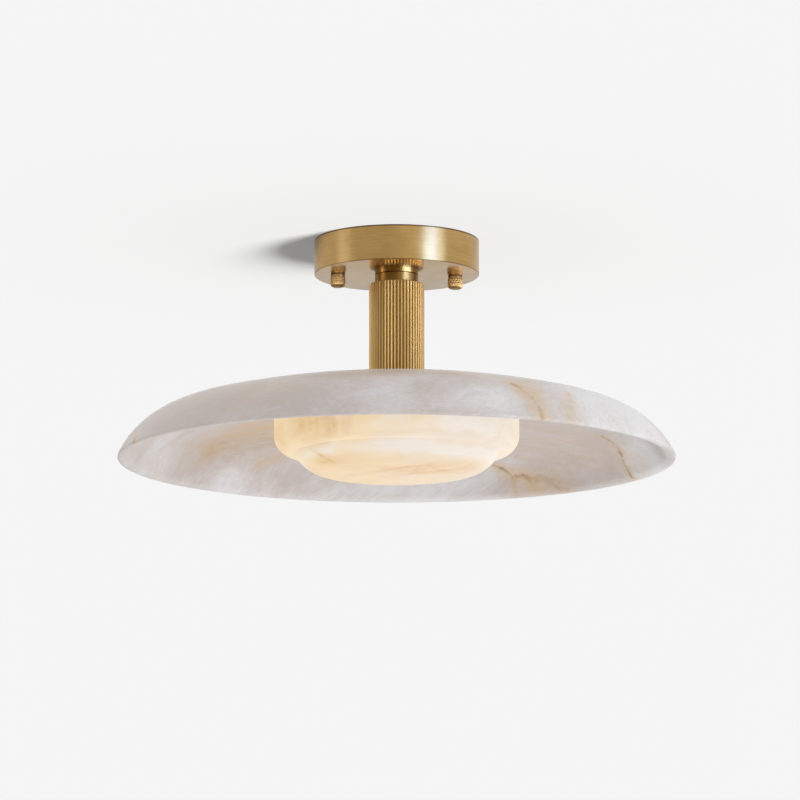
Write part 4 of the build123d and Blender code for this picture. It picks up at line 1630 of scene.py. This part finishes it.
@dataclass
class Hardware:
    """The threaded pieces and the diodes, which the solids show plain."""

    finishes: Finishes
    stud_ridge: float = 0.0002
    stud_pitch: float = 0.0007
    stud_radius: float = 0.002
    stud_head_height: float = 0.0026
    head_crown: float = 0.0009
    head_steps: int = 8
    tube_ridge: float = 0.00028
    tube_pitch: float = 0.001
    tube_bore: float = 0.0035
    ridge_crease: float = 80.0
    outer_diodes: int = 18
    inner_diodes: int = 12
    diode_size: float = 0.003
    diode_edge: float = 0.010
    diode_step: float = 0.015
    segments: int = 48

    def __post_init__(self) -> None:
        """Builds the trees that the pieces share."""
        self.thread = ThreadShape(steps_per_turn=24, sides=5)
        self.diode = DiodeShape(face_share=0.8, face_depth=0.15, facets=20)

    def threaded(self, name: str, outline: Sequence[Point], x: float, **ridge: float) -> list[bpy.types.Mesh]:
        """A turned steel core with the ridge of its thread.

        Args:
            name: The name of both meshes.
            outline: The core's outline.
            x: Where its axis stands.
            ridge: The thread's radius, ridge, pitch, length and bottom.

        Returns:
            Both meshes, in place.
        """
        steel = self.finishes["zinc_steel"]
        core = painted(shaded(lathe(name, outline, self.segments)), steel)
        wound = self.thread.mesh(f"{name}_thread", x=x, material=steel, **ridge)
        return [moved(core, x, 0.0, 0.0), shaded(wound, self.ridge_crease)]

    def stud(self, x: float) -> list[bpy.types.Mesh]:
        """Makes one stud: a domed head, a plain core and its thread.

        Args:
            x: Where its axis stands.

        Returns:
            Its meshes.
        """
        low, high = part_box("bracket_studs")
        seat = high.z - self.stud_head_height
        core = self.stud_radius - self.stud_ridge
        angles = [math.pi / 2 * step / self.head_steps for step in range(self.head_steps)]
        crown = high.z - self.head_crown
        dome = [(high.y * math.cos(a), crown + self.head_crown * math.sin(a)) for a in angles]
        outline = [(0.0, low.z), (core, low.z), (core, seat), (high.y, seat), *dome, (0.0, high.z)]
        return self.threaded(
            "stud",
            outline,
            x,
            radius=self.stud_radius,
            ridge=self.stud_ridge,
            pitch=self.stud_pitch,
            length=seat - low.z - 2 * self.stud_ridge,
            bottom=low.z + self.stud_ridge,
        )

    def tube(self) -> list[bpy.types.Mesh]:
        """Makes the hollow tube with its thread.

        Returns:
            Its meshes.
        """
        low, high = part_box("threaded_tube")
        core = high.x - self.tube_ridge
        outline = [(self.tube_bore, low.z), (core, low.z), (core, high.z), (self.tube_bore, high.z)]
        return self.threaded(
            "tube",
            outline,
            0.0,
            radius=high.x,
            ridge=self.tube_ridge,
            pitch=self.tube_pitch,
            length=high.z - low.z - 2 * self.tube_ridge,
            bottom=low.z + self.tube_ridge,
        )

    def diodes(self) -> list[bpy.types.Mesh]:
        """Makes both rings of diodes.

        Returns:
            Their meshes.
        """
        low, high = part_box("led_chips")
        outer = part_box("led_board")[1].x - self.diode_edge
        half_step = math.pi / self.inner_diodes
        rings = ((self.outer_diodes, outer, 0.0), (self.inner_diodes, outer - self.diode_step, half_step))
        return [
            shaded(
                self.diode.mesh(
                    "diode_ring",
                    count=count,
                    radius=radius,
                    start=start,
                    top=high.z,
                    size=self.diode_size,
                    height=high.z - low.z,
                    package=self.finishes["plastic_white"],
                    face=self.finishes["led_yellow"],
                )
            )
            for count, radius, start in rings
        ]

    def dress(self) -> None:
        """Adds the pieces."""
        nut_low, nut_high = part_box("canopy_nut_right")
        stud_x = (nut_low.x + nut_high.x) / 2
        studs = joined("studs", [*self.stud(-stud_x), *self.stud(stud_x)])
        tube = joined("threaded_tube", self.tube())
        diodes = joined("diodes", self.diodes())
        add_piece("bracket_studs_threaded", studs, Body.FIXTURE, "zinc_steel", "bracket_studs")
        add_piece("tube_threaded", tube, Body.FIXTURE, "zinc_steel", "threaded_tube")
        add_piece("led_packages", diodes, Body.FIXTURE, "led_yellow", "led_chips")


@dataclass
class Carried:
    """The frame's own nodes that stay as they are, and get their finishes."""

    finishes: Finishes

    def dress(self) -> None:
        """Gives each shown node the material of its slot in the record."""
        for subpart in frame["record"]["subparts"]:
            node = frame["nodes"][subpart["node"]]
            if node.hide_render:
                continue
            material = self.finishes[subpart["material_slot"]]
            if not node.material_slots:
                node.data.materials.append(material)
            for slot in node.material_slots:
                slot.material = material
            LOG.info("%s: %s", node.name, material.name)


def towards(azimuth: float, elevation: float) -> Vector:
    """The direction at an angle from the front towards the right, and at an angle up, both in degrees."""
    turn, tilt = math.radians(azimuth), math.radians(elevation)
    return Vector((math.sin(turn) * math.cos(tilt), -math.cos(turn) * math.cos(tilt), math.sin(tilt)))


def turned_from(thing: bpy.types.Object, direction: Vector) -> bpy.types.Object:
    """Turns a lamp or camera so that its back is to a direction.

    Args:
        thing: The lamp or camera.
        direction: The direction.

    Returns:
        The same lamp or camera.
    """
    thing.rotation_mode = "QUATERNION"
    thing.rotation_quaternion = direction.to_track_quat("Z", "Y")
    return thing


@dataclass(frozen=True)
class PhotoCamera:
    """The photograph's viewpoint, turned about the middle of the shade's rim."""

    azimuth: float = -4.6
    elevation: float = -9.16
    distance: float = 3.253
    lens: float = 204.03
    sensor: float = 36.0
    aim_right: float = 0.0024
    aim_up: float = 0.04376

    def place(self) -> None:
        """Sets the scene's camera."""
        back = towards(self.azimuth, self.elevation)
        right = Vector((0.0, 0.0, 1.0)).cross(back).normalized()
        rim = Vector((0.0, 0.0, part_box("shade")[0].z))
        aim = rim + right * self.aim_right + back.cross(right) * self.aim_up
        data = bpy.data.cameras.new("photo_camera")
        data.lens = self.lens
        data.sensor_width = self.sensor
        camera = shown("photo_camera", data)
        camera.location = rim + back * self.distance
        turned_from(camera, camera.location - aim)
        bpy.context.scene.camera = camera


class Lit(Enum):
    """What a soft box lights: these pieces alone, or all that no other has for itself."""

    CANOPY = ("canopy_cup",)
    COLLAR = ("collar_turned",)
    STEM = ("stem_fluted", "canopy_nut_left_knurled", "canopy_nut_right_knurled")
    REST = ()


@dataclass(frozen=True)
class Strip:
    """A tall soft box round the lamp, which shows as a band in the brass or lights all the rest."""

    name: str
    lit: Lit
    azimuth: float
    width: float
    radiance: float
    elevation: float = -20.0
    height: float = 36.0
    distance: float = 2.0
    tint: Place = (1.0, 1.0, 1.0)

    def side(self, angle: float) -> float:
        """The length that is seen at an angle in degrees from the lamp."""
        return 2 * self.distance * math.tan(math.radians(angle / 2))

    def hang(self, around: Vector) -> bpy.types.Object:
        """Adds the box.

        Args:
            around: The point that it faces; its angles are in degrees as seen from there.

        Returns:
            The box.
        """
        outwards = towards(self.azimuth, self.elevation)
        data = bpy.data.lights.new(self.name, "AREA")
        data.shape = "RECTANGLE"
        data.size = self.side(self.width)
        data.size_y = self.side(self.height)
        data.energy = self.radiance * math.pi * data.size * data.size_y
        data.color = self.tint
        lamp = turned_from(shown(self.name, data), outwards)
        lamp.location = around + outwards * self.distance
        lamp.visible_camera = False
        return lamp


@dataclass
class Studio:
    """The pale ceiling that the lamp hangs from, and soft light round it."""

    reach: float = 16.0
    hole: float = 0.0587
    gap: float = 0.0002
    segments: int = 128
    ceiling_tone: float = 0.15
    ceiling_glow: float = 0.20
    ceiling_bounce: float = 0.88
    world_left: float = 0.32
    world_right: float = 0.72
    world_front: float = 0.62
    world_back: float = 1.15
    world_floor: float = 0.92
    right_edges: Range = (-0.8, 0.8)
    front_edges: Range = (0.1, -0.9)
    floor_edges: Range = (-0.1, -0.7)
    wash_azimuth: float = 40.0
    wash_elevation: float = -22.6
    wash_strength: float = 32.0
    wash_angle: float = 24.0
    strips: tuple[Strip, ...] = (
        Strip("canopy_key", Lit.CANOPY, 42.0, 17.0, 8.0, tint=(0.51, 0.89, 2.0)),
        Strip("canopy_core", Lit.CANOPY, 46.5, 12.0, 8.0, tint=(0.0, 0.10, 1.15)),
        Strip("canopy_spill", Lit.CANOPY, 57.2, 13.6, 3.8, tint=(0.80, 1.23, 2.4)),
        Strip("canopy_glow", Lit.CANOPY, 17.5, 32.0, 0.55),
        Strip("canopy_left", Lit.CANOPY, -83.0, 21.0, 1.45, tint=(0.92, 1.05, 1.5)),
        Strip("canopy_back", Lit.CANOPY, -128.0, 26.0, 0.4),
        Strip("collar_key", Lit.COLLAR, 53.0, 42.0, 9.0, tint=(1.0, 1.75, 5.6)),
        Strip("collar_left", Lit.COLLAR, -88.0, 16.0, 3.6, tint=(0.95, 1.05, 1.8)),
        Strip("stem_front", Lit.STEM, -33.0, 45.0, 3.3),
        Strip("stem_middle", Lit.STEM, 22.0, 62.0, 1.5),
        Strip("stem_side", Lit.STEM, 92.0, 75.0, 3.6, tint=(0.97, 1.03, 1.2)),
        Strip("stone_key", Lit.REST, 52.0, 34.0, 2.3, elevation=-14.0, height=28.0),
    )

    def coat(self, paint: Surface, share: float) -> Term:
        """Ceiling paint: matt, with an even glow that no shadow reaches.

        Args:
            paint: The paint's tree.
            share: The share of its brightness.

        Returns:
            The shader.
        """
        tone = self.ceiling_tone * share
        matt = paint.node("ShaderNodeBsdfDiffuse", None, {"Color": rgb(tone, tone, tone)})
        glow = paint.node("ShaderNodeEmission", None, {"Strength": self.ceiling_glow * share})
        return paint.node("ShaderNodeAddShader", None, {0: matt, 1: glow})

    def paint(self) -> bpy.types.Material:
        """The ceiling's paint, which is clear from above and casts less light than it shows.

        Returns:
            The material.
        """
        paint = Surface("ceiling_paint")
        rays = [f"Is {kind} Ray" for kind in ("Camera", "Glossy", "Transmission")]
        direct = [paint.node("ShaderNodeLightPath", output=ray) for ray in rays]
        seen = (direct[0] + direct[1] + direct[2]).at_most(1.0)
        coats = {0: seen, 1: self.coat(paint, self.ceiling_bounce), 2: self.coat(paint, 1.0)}
        below = paint.node("ShaderNodeMixShader", None, coats)
        above = paint.node("ShaderNodeNewGeometry", output="Backfacing")
        clear = paint.node("ShaderNodeBsdfTransparent")
        both = paint.node("ShaderNodeMixShader", None, {0: above, 1: below, 2: clear})
        paint.node("ShaderNodeOutputMaterial", None, {"Surface": both})
        return paint.material

    def ceiling(self) -> bpy.types.Object:
        """Adds a wide ceiling, open inside the canopy.

        Returns:
            The ceiling.
        """
        build = bmesh.new()
        edges = [ring(build, radius, self.gap, self.segments) for radius in (self.hole, self.reach)]
        band(build, *edges)
        ceiling = shown("ceiling", painted(mesh_of("ceiling", build), self.paint()))
        return ceiling

    def world(self) -> None:
        """A pale room: brighter to the right and below, darker behind the camera."""
        world = bpy.data.worlds.new("pale_room")
        world.use_nodes = True
        room = Graph(world.node_tree)
        heading = room.node("ShaderNodeTexCoord", output="Generated")
        right = room.step(room.part(heading, "X"), *self.right_edges)
        front = room.step(room.part(heading, "Y"), *self.front_edges)
        below = room.step(room.part(heading, "Z"), *self.floor_edges)
        sides = self.world_left + right * (self.world_right - self.world_left)
        around = sides * (self.world_back + front * (self.world_front - self.world_back))
        tone = around + (self.world_floor - around) * below
        colour = room.node("ShaderNodeCombineColor", None, {0: tone, 1: tone, 2: tone})
        light = room.node("ShaderNodeBackground", None, {"Color": colour, "Strength": 1.0})
        room.node("ShaderNodeOutputWorld", None, {"Surface": light})
        bpy.context.scene.world = world

    def wash(self) -> bpy.types.Object:
        """Adds a soft distant lamp that lights the ceiling from the front right.

        Returns:
            The lamp.
        """
        data = bpy.data.lights.new("ceiling_wash", "SUN")
        data.energy = self.wash_strength
        data.angle = math.radians(self.wash_angle)
        return turned_from(shown("ceiling_wash", data), towards(self.wash_azimuth, self.wash_elevation))

    @staticmethod
    def group(name: str, members: Sequence[bpy.types.Object], state: str = "INCLUDE") -> bpy.types.Collection:
        """A collection for a lamp to light, or to leave out.

        Args:
            name: The collection's name.
            members: The objects in it.
            state: INCLUDE or EXCLUDE.

        Returns:
            The collection.
        """
        collection = bpy.data.collections.new(name)
        for member in members:
            collection.objects.link(member)
        for link in collection.collection_objects:
            link.light_linking.link_state = state
        return collection

    def light(self) -> None:
        """Lights the lamp, and apart from it the ceiling, on which only the canopy casts its shadow."""
        ceiling = self.ceiling()
        self.world()
        pieces = {lit: [bpy.data.objects[name] for name in lit.value] for lit in Lit}
        lights = {lit: self.group(lit.name.lower(), pieces[lit]) for lit in Lit if lit.value}
        others = [piece for members in pieces.values() for piece in members]
        lights[Lit.REST] = self.group("rest", [*others, ceiling], "EXCLUDE")
        for strip in self.strips:
            lamp = strip.hang(Vector((0.0, 0.0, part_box("stem")[1].z)))
            lamp.light_linking.receiver_collection = lights[strip.lit]
        wash = self.wash()
        wash.light_linking.receiver_collection = self.group("wash_lights", [ceiling])
        wash.light_linking.blocker_collection = self.group("wash_shadows", pieces[Lit.CANOPY])


def main() -> None:
    """Builds and dresses the lamp, then lights it and sets the camera."""
    logging.basicConfig(level=logging.INFO, format="%(name)s %(message)s")
    PhotoCamera().place()
    finishes = Finishes()
    knurl = KnurlShape()
    Canopy(finishes).dress()
    FingerNut(finishes, "canopy_nut_left", Body.LEFT_NUT, knurl).dress()
    FingerNut(finishes, "canopy_nut_right", Body.RIGHT_NUT, knurl).dress()
    Stem(finishes).dress()
    Shade(finishes).dress()
    Diffuser(finishes).dress()
    Hardware(finishes).dress()
    Carried(finishes).dress()
    Studio().light()
    bpy.context.scene.view_settings.view_transform = "Standard"


if __name__ == "__main__":
    main()
